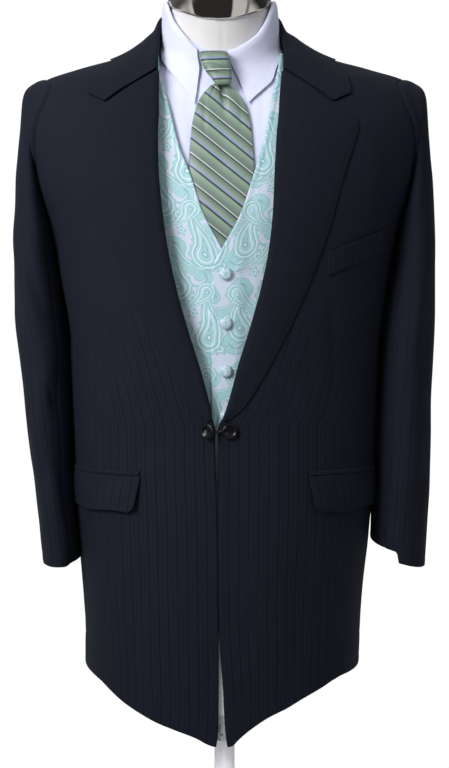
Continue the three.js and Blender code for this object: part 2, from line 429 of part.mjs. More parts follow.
// The leaf of the collar: fold is its top edge, free its lower edge, from the wearer's right end round the back to the left end.
function collarEnd(foldX, foldZ, pointX, pointZ, side) {
  const fold = FORM.find(foldX, foldZ, 3, 16), point = FORM.find(pointX, pointZ, 3, 16);
  return { side, fold, point };
}
const ENDS = [collarEnd(OPEN.right, 1450, -36, 1379, -1), collarEnd(OPEN.left, 1448, 29, 1381, 1)];
function leafCurves(end) {
  const s = end.side;
  const rows = [
    { along: 0, foldAngle: s * end.fold.angle, foldRow: end.fold.row, freeAngle: s * end.point.angle, freeRow: end.point.row },
    { along: 0.1, foldAngle: s < 0 ? 40 : 18, foldRow: standTop(s < 0 ? 40 : 18), freeAngle: s < 0 ? 41.5 : 40, freeRow: s < 0 ? 11.15 : 10.85 },
    { along: 0.22, foldAngle: s < 0 ? 57 : 44, foldRow: standTop(s < 0 ? 57 : 44), freeAngle: s < 0 ? 58 : 57, freeRow: s < 0 ? 12.5 : 12.55 },
    { along: 0.36, foldAngle: 78, foldRow: standTop(78), freeAngle: 78, freeRow: 13.6 },
    { along: 0.6, foldAngle: 115, foldRow: standTop(115), freeAngle: 115, freeRow: 14.1 },
    { along: 1, foldAngle: 180, foldRow: standTop(180), freeAngle: 180, freeRow: 14.1 },
  ];
  return columns(rows, "along");
}
const LEAVES = ENDS.map(leafCurves);
add("shirt_collar_leaf", wall((u, v, face) => {
  const s = 1 - Math.abs(2 * u - 1), c = u < 0.5 ? LEAVES[0] : LEAVES[1], side = u < 0.5 ? -1 : 1;
  const angle = lerp(c.foldAngle(s), c.freeAngle(s), v), row = lerp(c.foldRow(s), c.freeRow(s), v);
  const rise = lerp(7.6, 5.2, smooth(v * 1.2)) + 1.8 * smooth(v * 2) * smooth((s - 0.1) / 0.2);
  return FORM.point(side * angle, row, rise + face * 1.4);
}, 24, 4), "shirt");

// ---------- necktie ----------
add("tie_band", wall((u, v, face) => {
  const a = lerp(24, 318, u);
  return FORM.point(a, lerp(14.3, 14.62, v) + 0.3 * smooth(Math.min(u, 1 - u) / 0.2), 5 + face * 1.4);
}, 20, 1), "tie");
// Knot: one row per ring, z its height, x its centre, half its half width, near and far its y.
const KNOT = [
  { z: 1450, x: -13.5, half: 15.5, far: -65.5, near: -79 }, { z: 1447, x: -13.5, half: 16.6, far: -65.5, near: -83 }, { z: 1438, x: -12.5, half: 16.4, far: -67, near: -87 },
  { z: 1424, x: -9.5, half: 14.4, far: -72, near: -91 }, { z: 1411, x: -6, half: 12, far: -78, near: -95 }, { z: 1406, x: -5, half: 10.6, far: -82, near: -95.5 },
];
add("tie_knot", loft(KNOT.map((k) => Array.from({ length: 12 }, (_, i) => {
  const a = (i / 12) * 2 * Math.PI, c = Math.cos(a), s = Math.sin(a), r = Math.pow(Math.pow(Math.abs(c), 2.8) + Math.pow(Math.abs(s), 2.8), -1 / 2.8);
  return new THREE.Vector3(k.x + k.half * r * c, (k.far + k.near) / 2 + ((k.far - k.near) / 2) * r * s, k.z);
}))), "tie");
const BLADE = [
  { z: 1400.5, x: -5, half: 10.5 }, { z: 1396, x: -5, half: 15 }, { z: 1388, x: -4.6, half: 22 }, { z: 1372, x: -4, half: 30 }, { z: 1345, x: -3.6, half: 35.5 }, { z: 1300, x: -3.4, half: 38 },
  { z: 1240, x: -3.2, half: 38.5 }, { z: 1160, x: -3, half: 39 }, { z: 1080, x: -3, half: 39.5 }, { z: 1040, x: -3, half: 40 }, { z: 1002, x: -3, half: 3 },
];
const BLADE_OFF = 4.6, BLADE_T = 2.4;
add("tie_blade", wall((u, v, face) => {
  const row = BLADE[Math.round(v * (BLADE.length - 1))], x = row.x + row.half * (2 * u - 1);
  const f = FORM.find(x, row.z, 2, 15), top = smooth((row.z - 1340) / 60);
  return FORM.point(f.angle, f.row, BLADE_OFF + 3.6 * top + face * BLADE_T);
}, 4, BLADE.length - 1), "tie");

// ---------- waistcoat ----------
const VEST_V = [
  { z: 1100, right: 10, left: -15 }, { z: 1178, right: 10, left: -15 }, { z: 1192, right: 5, left: -11 }, { z: 1207, right: -3, left: -3 }, { z: 1250, right: -26, left: 20 }, { z: 1298, right: -42, left: 36 },
  { z: 1330, right: -55, left: 46 }, { z: 1383, right: -68.6, left: 58 }, { z: 1412, right: -77, left: 64 }, { z: 1432, right: -81, left: 70 }, { z: 1450, right: -82, left: 72 },
];
const VEST_EDGE = [{ z: 900, right: -40, left: 16 }, { z: 915, right: -26, left: 4 }, { z: 933, right: -6, left: -9 }, { z: 948, right: 8, left: -15 }, { z: 965, right: 10, left: -15 }];
const vestEdge = (side, z) => {
  const key = side < 0 ? "right" : "left", t = z > 1100 ? VEST_V : VEST_EDGE;
  return curve(column(t, "z"), column(t, key))(z);
};
const VEST_HEM = [{ angle: 0, z: 903 }, { angle: 12, z: 900 }, { angle: 40, z: 922 }, { angle: 80, z: 940 }, { angle: 130, z: 930 }, { angle: 180, z: 922 }];
const vestHem = curve(column(VEST_HEM, "angle"), column(VEST_HEM, "z"));
const VEST_OFF = 8.4;
function vestPoint(angle, q, rise) { // q below 3 runs from the hem up to section 3
  const a = Math.abs(((angle + 540) % 360) - 180), hem = FORM.rowOfZ(vestHem(a), angle);
  const row = q < 3 ? lerp(hem, 3, q / 3) : q;
  // stands off the form below the waist, and at the neck off the shirt's collar
  return FORM.point(angle, row, VEST_OFF + 8 * Math.exp(-Math.pow((row - 3) / 1.7, 2)) * Math.pow(Math.max(0, Math.cos(rad(angle))), 2) + 1.8 * smooth((row - 11.2) / 1.6) + rise);
}
const VEST_ARM = { low: 6.5, high: 10.55, front: 27, back: 25 };
const VEST_ROWS = [0, 1, 2, 3, 4, 5, 5.6, 6.5, 6.8, 7.5, 8.4, 9.3, 10.1, 10.55, 11.2, 12, 12.7, 13.3];
const lap = (angle) => 3.1 * (1 - smooth((angle - 6) / 9)); // the left front lies over the right one
for (const [name, side] of [["R", -1], ["L", 1]]) {
  const nv = VEST_ROWS.length - 1;
  add("vest_front_" + name, wall((u, v, face) => {
    const row = VEST_ROWS[Math.round(v * nv)];
    const start = side * Math.min(82, side * angleOnLine((a, r) => vestPoint(a, r, 1), row, (z) => vestEdge(side, z)));
    const angle = lerp(start, side * (90 - armWidth(VEST_ARM, row, "front") - seamAngle(row, FORM)), u);
    return vestPoint(angle, row, face * VEST_CLOTH + (side > 0 ? lap(angle) : 0));
  }, 7, nv), "vest");
}
const VEST_BACK_ROWS = [...VEST_ROWS, 13.9, 14.4];
add("vest_back", wall((u, v, face) => {
  const row = VEST_BACK_ROWS[Math.round(v * (VEST_BACK_ROWS.length - 1))], from = 90 + armWidth(VEST_ARM, row, "back") + seamAngle(row, FORM);
  return vestPoint(lerp(from, 360 - from, u), row, face * VEST_CLOTH);
}, 8, VEST_BACK_ROWS.length - 1), "vest");
function button(name, at, out, r, t, look) {
  const g = new THREE.LatheGeometry([[0, 0], [r * 0.8, 0], [r, t * 0.35], [r, t * 0.6], [r * 0.86, t * 0.92], [0, t]].map(([a, b]) => new THREE.Vector2(a, b)), 14);
  g.applyQuaternion(new THREE.Quaternion().setFromUnitVectors(new THREE.Vector3(0, 1, 0), out.clone().normalize()));
  g.translate(at.x, at.y, at.z);
  add(name, g, look);
}
[1178, 1120, 1062, 1008, 955].forEach((z, i) => {
  const a = FORM.angleOfX(1.5, FORM.rowOfZ(z, 1)), row = FORM.rowOfZ(z, a), p = vestPoint(a, row < 3 ? 3 * clamp((row - FORM.rowOfZ(vestHem(1), 1)) / (3 - FORM.rowOfZ(vestHem(1), 1)), 0, 1) : row, VEST_CLOTH + lap(a) + 0.8);
  button("vest_button_" + (i + 1), p, new THREE.Vector3(0, -1, 0.04), VEST_BUTTON_R, 3.6, "vest");
});

// ---------- closure, lining and cord of the coat ----------
{
  const outOf = (x, z, off) => onFront(x, z, off);
  button("coat_button_R", outOf(-19.5, CLOSURE_Z - 1, CLOTH + 4.6), new THREE.Vector3(-0.55, -1, 0.12), BUTTON_R - 0.5, BUTTON_T, "button");
  button("coat_button_L", outOf(6.5, CLOSURE_Z - 1.5, CLOTH + 1.6), new THREE.Vector3(0.05, -1, 0.1), BUTTON_R, BUTTON_T, "button");
  const a = outOf(-11.9, CLOSURE_Z, CLOTH + 3.2), b = outOf(-3.7, CLOSURE_Z, CLOTH + 3.2), link = new THREE.CylinderGeometry(1.7, 1.7, a.distanceTo(b), 10);
  link.applyQuaternion(new THREE.Quaternion().setFromUnitVectors(new THREE.Vector3(0, 1, 0), b.clone().sub(a).normalize()));
  link.translate((a.x + b.x) / 2, (a.y + b.y) / 2, (a.z + b.z) / 2);
  add("coat_link", link, "button");
}
const LINING_ROWS = [0.05, 0.35, 0.7, 1.1, 1.5];
add("coat_lining_L", wall((u, v, face) => {
  const row = LINING_ROWS[Math.round(v * 4)], from = COAT.angleOfX(-13, row);
  return COAT.point(lerp(from, 27, u), row, -4.4 + face * 1.2);
}, 6, 4), "shirt");
add("coat_cord_L", loft(Array.from({ length: 15 }, (_, j) => {
  const row = lerp(0.02, 0.62, j / 14), e = edgeAngle(row, 1), c = COAT.point(e + 0.15, row, -1.55), out = COAT.normal(e, row);
  return Array.from({ length: 8 }, (_, i) => {
    const a = (i / 8) * 2 * Math.PI;
    return c.clone().addScaledVector(new THREE.Vector3(1, 0, 0), 1.25 * Math.cos(a)).addScaledVector(out, 1.25 * Math.sin(a));
  });
})), "stand");

// ---------- the dress form ----------
const around = (n) => Array.from({ length: n }, (_, i) => (i * 360) / n);
{
  const rows = [0, 1, 2, 3, 4, 5.5, 6.95, 8, 9, 9.8, 10.35, 11.2, 12.2, 13.2, 14.1, 15, 16];
  add("form_torso", loft(rows.map((row) => around(24).map((a) => FORM.point(a, row, -4 * smooth(14.1 - row))))), "form");
  const top = FORM.top, lift = 0.3;
  const cap = (grow, rise) => around(24).map((a) => {
    const p = FORM.at(a, top), c = new THREE.Vector3(0, -14, 1508), up = new THREE.Vector3(0, -0.34, 0.94);
    return p.sub(c).multiplyScalar(grow).add(c).addScaledVector(up, rise);
  });
  add("form_neck_cap", loft([cap(1.02, lift), cap(1.035, 3), cap(1.035, 24), cap(1.0, 29), cap(0.5, 33), cap(0.1, 34)]), "chrome");
}
{
  const pole = new THREE.LatheGeometry([new THREE.Vector2(0, BASE_T + 0.3), new THREE.Vector2(POLE_R, BASE_T + 0.3), new THREE.Vector2(POLE_R, FORM_BOTTOM - 0.3), new THREE.Vector2(0, FORM_BOTTOM - 0.3)], 20);
  pole.rotateX(Math.PI / 2);
  add("stand_pole", pole, "stand");
  const collarRing = new THREE.LatheGeometry([[POLE_R + 0.3, BASE_T + 0.3], [30, BASE_T + 0.3], [28, BASE_T + 10], [POLE_R + 5, BASE_T + 26], [POLE_R + 0.3, BASE_T + 26], [POLE_R + 0.3, BASE_T + 0.3]].map(([r, z]) => new THREE.Vector2(r, z)), 20);
  collarRing.rotateX(Math.PI / 2);
  add("stand_collar", collarRing, "stand");
  const base = new THREE.LatheGeometry([[0, 0], [BASE_R - 2, 0], [BASE_R, 2], [BASE_R, BASE_T - 5], [BASE_R - 6, BASE_T - 1], [BASE_R - 20, BASE_T], [0, BASE_T]].map(([r, z]) => new THREE.Vector2(r, z)), 32);
  base.rotateX(Math.PI / 2);
  add("stand_base", base, "stand");
}

export default group;
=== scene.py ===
import math
import bpy
import numpy as np
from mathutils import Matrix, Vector


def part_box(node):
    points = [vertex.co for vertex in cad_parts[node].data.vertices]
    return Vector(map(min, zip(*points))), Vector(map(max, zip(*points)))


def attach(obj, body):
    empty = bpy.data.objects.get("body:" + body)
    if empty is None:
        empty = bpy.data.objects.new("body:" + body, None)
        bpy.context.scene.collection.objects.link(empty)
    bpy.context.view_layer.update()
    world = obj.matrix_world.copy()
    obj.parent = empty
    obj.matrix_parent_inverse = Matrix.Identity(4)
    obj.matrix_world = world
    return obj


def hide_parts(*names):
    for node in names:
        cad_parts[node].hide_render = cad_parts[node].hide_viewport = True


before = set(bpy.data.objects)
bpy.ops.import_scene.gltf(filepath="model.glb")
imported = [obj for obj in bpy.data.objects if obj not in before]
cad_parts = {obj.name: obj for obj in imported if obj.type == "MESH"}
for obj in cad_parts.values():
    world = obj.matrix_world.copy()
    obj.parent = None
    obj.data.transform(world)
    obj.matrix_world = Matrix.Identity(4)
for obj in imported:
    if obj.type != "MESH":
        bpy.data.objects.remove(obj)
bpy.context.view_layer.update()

CLOTH, TRIM, VEST_CLOTH, SHIRT_CLOTH = 2.0, 1.8, 1.8, 1.2   # walls in mm
CENTRE_FRONT, CLOSURE_Z = -9.5, 992.0
POLE_R, BASE_R, BASE_T, FORM_BOTTOM = 13.0, 200.0, 12.0, 772.0
FRAME_W, FRAME_H, FOCAL_PX = 449, 768, 1732.0
CAM_Y, CAM_Z, PITCH = -2200.0, 1200.0, 4.26

# ---------------------------------------------------------------- camera
cam_data = bpy.data.cameras.new("camera")
cam_data.sensor_width = 36.0
cam_data.lens = FOCAL_PX / FRAME_H * 36.0
cam = bpy.data.objects.new("camera", cam_data)
bpy.context.scene.collection.objects.link(cam)
cam.location = (0.0, CAM_Y / 1000, CAM_Z / 1000)
cam.rotation_euler = (math.radians(90 - PITCH), 0, 0)
bpy.context.scene.camera = cam
bpy.context.scene.view_settings.view_transform = "Standard"


def spot(px, py, y=-150.0):
    """World x and z in mm of a place in the photograph's frame, at the depth y."""
    d = y - CAM_Y
    v = (FRAME_H / 2 - py) / FOCAL_PX
    return (px - FRAME_W / 2) * d / FOCAL_PX, CAM_Z + d * (-0.0743 + 0.9972 * v) / (0.9972 + 0.0743 * v)


# ---------------------------------------------------------------- tables and curves
def lerp(a, b, t):
    return a + (b - a) * t


def smooth(t):
    t = np.clip(t, 0, 1)
    return t * t * (3 - 2 * t)


def curve(xs, ys):
    """Monotone cubic through a table."""
    xs, ys = np.asarray(xs, float), np.asarray(ys, float)
    n, h = len(xs), np.diff(xs)
    d = np.diff(ys) / h
    m = np.empty(n)
    m[0], m[-1] = d[0], d[-1]
    for i in range(1, n - 1):
        if d[i - 1] * d[i] <= 0:
            m[i] = 0
        else:
            w0, w1 = 2 * h[i] + h[i - 1], h[i] + 2 * h[i - 1]
            m[i] = (w0 + w1) / (w0 / d[i - 1] + w1 / d[i])

    def f(x):
        x = np.clip(np.asarray(x, float), xs[0], xs[-1])
        i = np.clip(np.searchsorted(xs, x, side="right") - 1, 0, n - 2)
        t = (x - xs[i]) / h[i]
        t2, t3 = t * t, t * t * t
        return (2 * t3 - 3 * t2 + 1) * ys[i] + (t3 - 2 * t2 + t) * h[i] * m[i] + (-2 * t3 + 3 * t2) * ys[i + 1] + (t3 - t2) * h[i] * m[i + 1]
    return f


def table(names, rows):
    """Every column after the first as a curve over the first."""
    a = np.array(rows, float)
    return {k: curve(a[:, 0], a[:, i + 1]) for i, k in enumerate(names)}


# side, front, back heights, half width, fore, aft depths, mid, lean, square
FORM_SECTIONS = [
    (772, 772, 772, 148, 98, 110, 4, 0, 2.3), (850, 850, 850, 161, 108, 120, 3, 0, 2.3), (920, 920, 920, 162, 110, 116, 2, 0, 2.3),
    (1000, 1000, 1000, 154, 112, 105, 0, 0, 2.3), (1080, 1080, 1080, 151, 114, 102, 0, 0, 2.3), (1160, 1160, 1160, 160, 118, 108, 0, 0, 2.35),
    (1235, 1232, 1230, 172, 119, 116, 0, 0, 2.4), (1295, 1285, 1282, 186, 113, 120, 0, 0, 2.45), (1345, 1330, 1325, 198, 103, 116, 0, 0, 2.4),
    (1380, 1364, 1360, 200, 90, 105, 0, 0, 2.2), (1397, 1389, 1389, 184, 79, 93, 0, 0, 2.0), (1409, 1406, 1412, 150, 70, 81, 0, -1, 1.9),
    (1422, 1419, 1431, 114, 62, 72, 0, -2, 1.9), (1437, 1430, 1448, 84, 58, 65, 0, -3, 2.0), (1456, 1443, 1466, 67, 57, 59, -2, -4, 2.1),
    (1484, 1464, 1496, 63, 59, 56, -6, -5, 2.1), (1512, 1486, 1530, 62, 60, 55, -12, -6, 2.1),
]
COAT_SECTIONS = [
    (684, 684, 688, 173, 156, 150, 0, -3, 2.3), (784, 784, 786, 178, 155, 151, 0, -2.5, 2.3), (860, 860, 860, 184, 153, 150, 0, -1, 2.3),
    (926, 926, 926, 189, 148, 144, 0, 0, 2.3), (992, 992, 992, 191, 144, 136, 0, 0, 2.3), (1085, 1085, 1085, 194, 144, 134, 0, 0, 2.35),
    (1165, 1165, 1163, 204, 144, 138, 0, 0, 2.45), (1238, 1232, 1230, 217, 141, 142, 0, 0, 2.7), (1302, 1290, 1285, 236, 133, 141, 0, 0, 3.0),
    (1358, 1340, 1334, 248, 120, 134, 0, 0, 3.0), (1395, 1374, 1370, 245, 104, 122, 0, 0, 2.6), (1415, 1398, 1402, 226, 89, 108, 0, 0, 2.2),
    (1429, 1416, 1429, 184, 78, 95, 0, -1, 1.95), (1441, 1430, 1447, 141, 70, 84, 0, -2, 1.9), (1451, 1440, 1460, 110, 65, 76, 0, -3, 1.95),
    (1464, 1450, 1472, 90, 64, 71, 0, -4, 2.0), (1477, 1459, 1484, 79, 64, 68, 0, -5, 2.1), (1497, 1476, 1508, 74, 64, 66, -2, -5, 2.1),
]
# angle, dip on the wearer's right, dip on the left
HEM_DIP = [(0, 74, 74), (4.4, 72, 72), (7.2, 69, 64.5), (11.2, 63, 55), (20.5, 54, 38), (28, 47, 29), (35.6, 38, 19), (45, 26, 9), (51, 17, 3), (58, 8, 0), (70, 2, 0), (82, 0, 0), (180, 0, 0)]


class Body:
    """The surface through the sections: angle 0 front, 90 wearer's left, 180 back; row counts sections."""

    def __init__(self, sections, dip=None):
        a = np.array(sections, float)
        r = np.arange(len(a))
        self.top = len(a) - 1
        self.c = {k: curve(r, a[:, i]) for i, k in enumerate(("side", "front", "back", "half", "fore", "aft", "mid", "lean", "square"))}
        self.dip = [curve([d[0] for d in dip], [d[i] for d in dip]) for i in (1, 2)] if dip else None

    def at(self, angle, row):
        angle, row = np.broadcast_arrays(np.asarray(angle, float), np.asarray(row, float))
        row = np.clip(row, 0, self.top)
        c, t = self.c, np.radians(angle)
        s, k, n = np.sin(t), np.cos(t), c["square"](row)
        depth = np.where(k > 0, c["fore"](row), c["aft"](row))
        r = ((np.abs(s) / c["half"](row)) ** n + (np.abs(k) / depth) ** n) ** (-1 / n)
        z = c["side"](row) + (np.where(k > 0, c["front"](row), c["back"](row)) - c["side"](row)) * k * k
        if self.dip:
            a = ((angle + 180) % 360) - 180
            z = z - np.where(a < 0, self.dip[0](-a), self.dip[1](a)) * np.clip(1 - row / 3, 0, 1) ** 1.5
        return np.stack([r * s + c["lean"](row), c["mid"](row) - r * k, z], -1)

    def normal(self, angle, row, ea=1.6, er=0.1):
        a = self.at(angle + ea, row) - self.at(angle - ea, row)
        b = self.at(angle, np.minimum(self.top, row + er)) - self.at(angle, np.maximum(0, row - er))
        n = np.cross(a, b)
        return n / np.linalg.norm(n, axis=-1, keepdims=True)

    def point(self, angle, row, off=0.0):
        off = np.asarray(off, float)
        return self.at(angle, row) + self.normal(angle, row) * (off[..., None] if off.ndim else off)

    def angle_of_x(self, x, row, n=26):
        lo, hi = np.full(np.broadcast(x, row).shape, -90.0), np.full(np.broadcast(x, row).shape, 90.0)
        for _ in range(n):
            m = (lo + hi) / 2
            less = self.at(m, row)[..., 0] < x
            lo, hi = np.where(less, m, lo), np.where(less, hi, m)
        return (lo + hi) / 2

    def find(self, x, z, lo=0, hi=None, n=22):
        x, z = np.broadcast_arrays(np.asarray(x, float), np.asarray(z, float))
        lo, hi = np.full(x.shape, float(lo)), np.full(x.shape, float(self.top if hi is None else hi))
        for _ in range(n):
            m = (lo + hi) / 2
            less = self.at(self.angle_of_x(x, m, 22), m)[..., 2] < z
            lo, hi = np.where(less, m, lo), np.where(less, hi, m)
        r = (lo + hi) / 2
        return self.angle_of_x(x, r), r

    def row_of_z(self, z, angle, n=26):
        z, angle = np.broadcast_arrays(np.asarray(z, float), np.asarray(angle, float))
        lo, hi = np.zeros(z.shape), np.full(z.shape, float(self.top))
        for _ in range(n):
            m = (lo + hi) / 2
            less = self.at(angle, m)[..., 2] < z
            lo, hi = np.where(less, m, lo), np.where(less, hi, m)
        return (lo + hi) / 2


FORM, COAT = Body(FORM_SECTIONS), Body(COAT_SECTIONS, HEM_DIP)


def on_line(point, row, line, n=30):
    """The angle at which point(angle, row) reaches the line x = line(z)."""
    lo, hi = np.full(np.shape(row), -90.0), np.full(np.shape(row), 90.0)
    for _ in range(n):
        m = (lo + hi) / 2
        p = point(m, row)
        less = p[..., 0] < line(p[..., 2])
        lo, hi = np.where(less, m, lo), np.where(less, hi, m)
    return (lo + hi) / 2


# ---------------------------------------------------------------- meshes
def link(name, me, mat, nodes, body="root"):
    ob = bpy.data.objects.new(name, me)
    bpy.context.scene.collection.objects.link(ob)
    me.materials.append(mat)
    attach(ob, body)
    if nodes:
        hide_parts(*nodes)
    return ob


def mesh(name, verts, quads, uv=None, tint=None):
    """A smooth mesh from points in mm."""
    me = bpy.data.meshes.new(name)
    me.from_pydata((np.asarray(verts) * 0.001).tolist(), [], [tuple(f) for f in quads])
    me.validate()
    if uv is not None:
        layer = me.uv_layers.new(name="cloth")
        vi = np.empty(len(me.loops), np.int32)
        me.loops.foreach_get("vertex_index", vi)
        layer.data.foreach_set("uv", np.asarray(uv, np.float32)[vi].ravel())
    me.shade_smooth()
    return me


def more_lines(a, t=0.16):
    """Adds a grid line close to each border, so that smooth shading turns only there."""
    a = np.concatenate([a[:1], lerp(a[:1], a[1:2], t), a[1:-1], lerp(a[-2:-1], a[-1:], 1 - t), a[-1:]], 0)
    return np.concatenate([a[:, :1], lerp(a[:, :1], a[:, 1:2], t), a[:, 1:-1], lerp(a[:, -2:-1], a[:, -1:], 1 - t), a[:, -1:]], 1)


def shell(name, outer, inner, uv, mat, nodes, lines=True, bulge=0.42):
    """A closed wall of cloth with a rounded edge. outer and inner are grids of points."""
    if lines:
        outer, inner, uv = more_lines(outer), more_lines(inner), more_lines(uv)
    nv, nu = outer.shape[0] - 1, outer.shape[1] - 1
    count = (nv + 1) * (nu + 1)
    ids = np.arange(count).reshape(nv + 1, nu + 1)
    a, b, c, d = ids[:-1, :-1].ravel(), ids[:-1, 1:].ravel(), ids[1:, 1:].ravel(), ids[1:, :-1].ravel()
    faces = [np.stack([a, b, c, d], 1), np.stack([d, c, b, a], 1) + count]
    ring = [(0, i) for i in range(nu)] + [(j, nu) for j in range(nv)] + [(nv, i) for i in range(nu, 0, -1)] + [(j, 0) for j in range(nv, 0, -1)]
    rj, ri = np.array(ring).T
    ij, ii = np.clip(rj, 1, nv - 1), np.clip(ri, 1, nu - 1)
    mid = (outer[rj, ri] + inner[rj, ri]) / 2
    away = outer[rj, ri] - outer[ij, ii]
    away /= np.maximum(np.linalg.norm(away, axis=1, keepdims=True), 1e-6)
    thick = np.linalg.norm(outer[rj, ri] - inner[rj, ri], axis=1, keepdims=True)
    mid = mid + away * thick * bulge
    o, n = ids[rj, ri], len(ring)
    m = 2 * count + np.arange(n)
    o2, m2 = np.roll(o, -1), np.roll(m, -1)
    faces.append(np.stack([o, m, m2, o2], 1))
    faces.append(np.stack([m, o + count, o2 + count, m2], 1))
    verts = np.concatenate([outer.reshape(-1, 3), inner.reshape(-1, 3), mid])
    f = np.concatenate(faces)
    p = verts[f]
    vol = np.einsum("ij,ij->i", p[:, 0], np.cross(p[:, 1], p[:, 2])).sum() + np.einsum("ij,ij->i", p[:, 0], np.cross(p[:, 2], p[:, 3])).sum()
    if vol < 0:
        f = f[:, ::-1]
    flat = uv.reshape(-1, 2)
    me = mesh(name, verts, f, np.concatenate([flat, flat, uv[rj, ri]]))
    return link(name, me, mat, nodes)


def tube_mesh(name, rings, mat, nodes, caps=True):
    """A closed solid through rings of points (m, n, 3)."""
    rings = np.asarray(rings, float)
    m, n = rings.shape[:2]
    ids = np.arange(m * n).reshape(m, n)
    a, b = ids[:-1], ids[1:]
    f = np.stack([a, np.roll(a, -1, 1), np.roll(b, -1, 1), b], -1).reshape(-1, 4)
    faces = [tuple(x) for x in f]
    verts = rings.reshape(-1, 3)
    if caps:
        verts = np.concatenate([verts, rings[0].mean(0)[None], rings[-1].mean(0)[None]])
        for i in range(n):
            faces.append((m * n, ids[0, (i + 1) % n], ids[0, i]))
            faces.append((m * n + 1, ids[-1, i], ids[-1, (i + 1) % n]))
    vol = 0.0
    for q in faces:
        p = verts[list(q)]
        vol += np.dot(p[0], np.cross(p[1], p[2])) + (np.dot(p[0], np.cross(p[2], p[3])) if len(q) == 4 else 0)
    if vol < 0:
        faces = [q[::-1] for q in faces]
    u = np.concatenate([[0], np.cumsum(np.linalg.norm(np.diff(rings[:, 0], axis=0), axis=1))]) * 0.001
    uv = np.stack(np.broadcast_arrays(np.linspace(0, 1, n)[None, :] * 0.1, u[:, None]), -1).reshape(-1, 2)
    if caps:
        uv = np.concatenate([uv, [[0, 0]], [[0, u[-1]]]])
    return link(name, mesh(name, verts, faces, uv), mat, nodes)


def lengths(p, axis):
    """Arc length in metres along one axis of a grid of points."""
    d = np.linalg.norm(np.diff(p, axis=axis), axis=-1)
    z = np.zeros_like(np.take(d, [0], axis=axis))
    return np.concatenate([z, np.cumsum(d, axis=axis)], axis=axis) * 0.001


def crease(x, z, rows):
    """Sum of soft troughs (depth above 0) and ridges (below 0) along segments: x0, z0, x1, z1, width, depth."""
    out = np.zeros(np.broadcast(x, z).shape)
    for x0, z0, x1, z1, width, depth in rows:
        dx, dz = x1 - x0, z1 - z0
        length = math.hypot(dx, dz)
        t = ((x - x0) * dx + (z - z0) * dz) / length ** 2
        side = ((x - x0) * dz - (z - z0) * dx) / length
        side = side + 0.05 * length * np.sin(2.2 * t + x0 * 0.1)   # a fold is never quite straight
        taper = smooth((t + 0.12) / 0.42) * smooth((1.12 - t) / 0.42)
        out -= depth * np.exp(-(side / width) ** 2) * taper
    return out


def ripple(x, z, seed, size=60.0):
    """Very low uneven waves of cloth."""
    rng = np.random.default_rng(seed)
    out = np.zeros(np.broadcast(x, z).shape)
    for _ in range(7):
        a, s, ph = rng.uniform(0, 6.28), rng.uniform(0.6, 1.7) * size, rng.uniform(0, 6.28)
        out += np.sin((x * math.cos(a) * 1.6 + z * math.sin(a) * 0.7) * 6.28 / s + ph)
    return out / 7


# ---------------------------------------------------------------- node expressions
class E:
    """A value in a node tree."""
    tree = None

    def __init__(self, s):
        self.s = s

    def __add__(a, b): return op("ADD", a, b)
    def __radd__(a, b): return op("ADD", a, b)
    def __sub__(a, b): return op("SUBTRACT", a, b)
    def __rsub__(a, b): return op("SUBTRACT", b, a)
    def __mul__(a, b): return op("MULTIPLY", a, b)
    def __rmul__(a, b): return op("MULTIPLY", a, b)
    def __truediv__(a, b): return op("DIVIDE", a, b)
    def __neg__(a): return op("MULTIPLY", a, -1.0)


def plug(value, socket):
    if isinstance(value, E):
        E.tree.links.new(value.s, socket)
    else:
        socket.default_value = value


def op(kind, *args):
    n = E.tree.nodes.new("ShaderNodeMath")
    n.operation = kind
    for i, a in enumerate(args):
        plug(a, n.inputs[i])
    return E(n.outputs[0])


def step_(x, a, b):
    """0 where x is at a, 1 where it is at b, smooth between."""
    n = E.tree.nodes.new("ShaderNodeMapRange")
    n.interpolation_type = "SMOOTHSTEP"
    plug(x, n.inputs["Value"])
    n.inputs["From Min"].default_value, n.inputs["From Max"].default_value = (a, b) if a < b else (b, a)
    n.inputs["To Min"].default_value, n.inputs["To Max"].default_value = (0.0, 1.0) if a < b else (1.0, 0.0)
    return E(n.outputs[0])


def absf(x): return op("ABSOLUTE", x)
def frac(x): return op("FRACT", x)
def maxf(a, b): return op("MAXIMUM", a, b)
def minf(a, b): return op("MINIMUM", a, b)
def sqrt(x): return op("SQRT", x)


def combine(x, y, z=0.0):
    n = E.tree.nodes.new("ShaderNodeCombineXYZ")
    plug(x, n.inputs[0]); plug(y, n.inputs[1]); plug(z, n.inputs[2])
    return E(n.outputs[0])


def noise(vec, scale=1.0, detail=2.0, rough=0.5):
    n = E.tree.nodes.new("ShaderNodeTexNoise")
    plug(vec, n.inputs["Vector"])
    n.inputs["Scale"].default_value = scale
    n.inputs["Detail"].default_value = detail
    n.inputs["Roughness"].default_value = rough
    return E(n.outputs[0])


def mixc(fac, a, b):
    n = E.tree.nodes.new("ShaderNodeMix")
    n.data_type = "RGBA"
    plug(fac, n.inputs[0])
    for v, s in ((a, n.inputs[6]), (b, n.inputs[7])):
        if isinstance(v, E):
            E.tree.links.new(v.s, s)
        else:
            s.default_value = (*v, 1.0)
    return E(n.outputs[2])


def srgb(r, g, b):
    return tuple((c / 255 / 12.92) if c / 255 <= 0.04045 else ((c / 255 + 0.055) / 1.055) ** 2.4 for c in (r, g, b))


def new_material(name):
    m = bpy.data.materials.new(name)
    m.use_nodes = True
    E.tree = m.node_tree
    return m, m.node_tree.nodes["Principled BSDF"]


def uv_mm():
    n = E.tree.nodes.new("ShaderNodeUVMap")
    n.uv_map = "cloth"
    s = E.tree.nodes.new("ShaderNodeSeparateXYZ")
    E.tree.links.new(n.outputs[0], s.inputs[0])
    return E(s.outputs[0]) * 1000.0, E(s.outputs[1]) * 1000.0


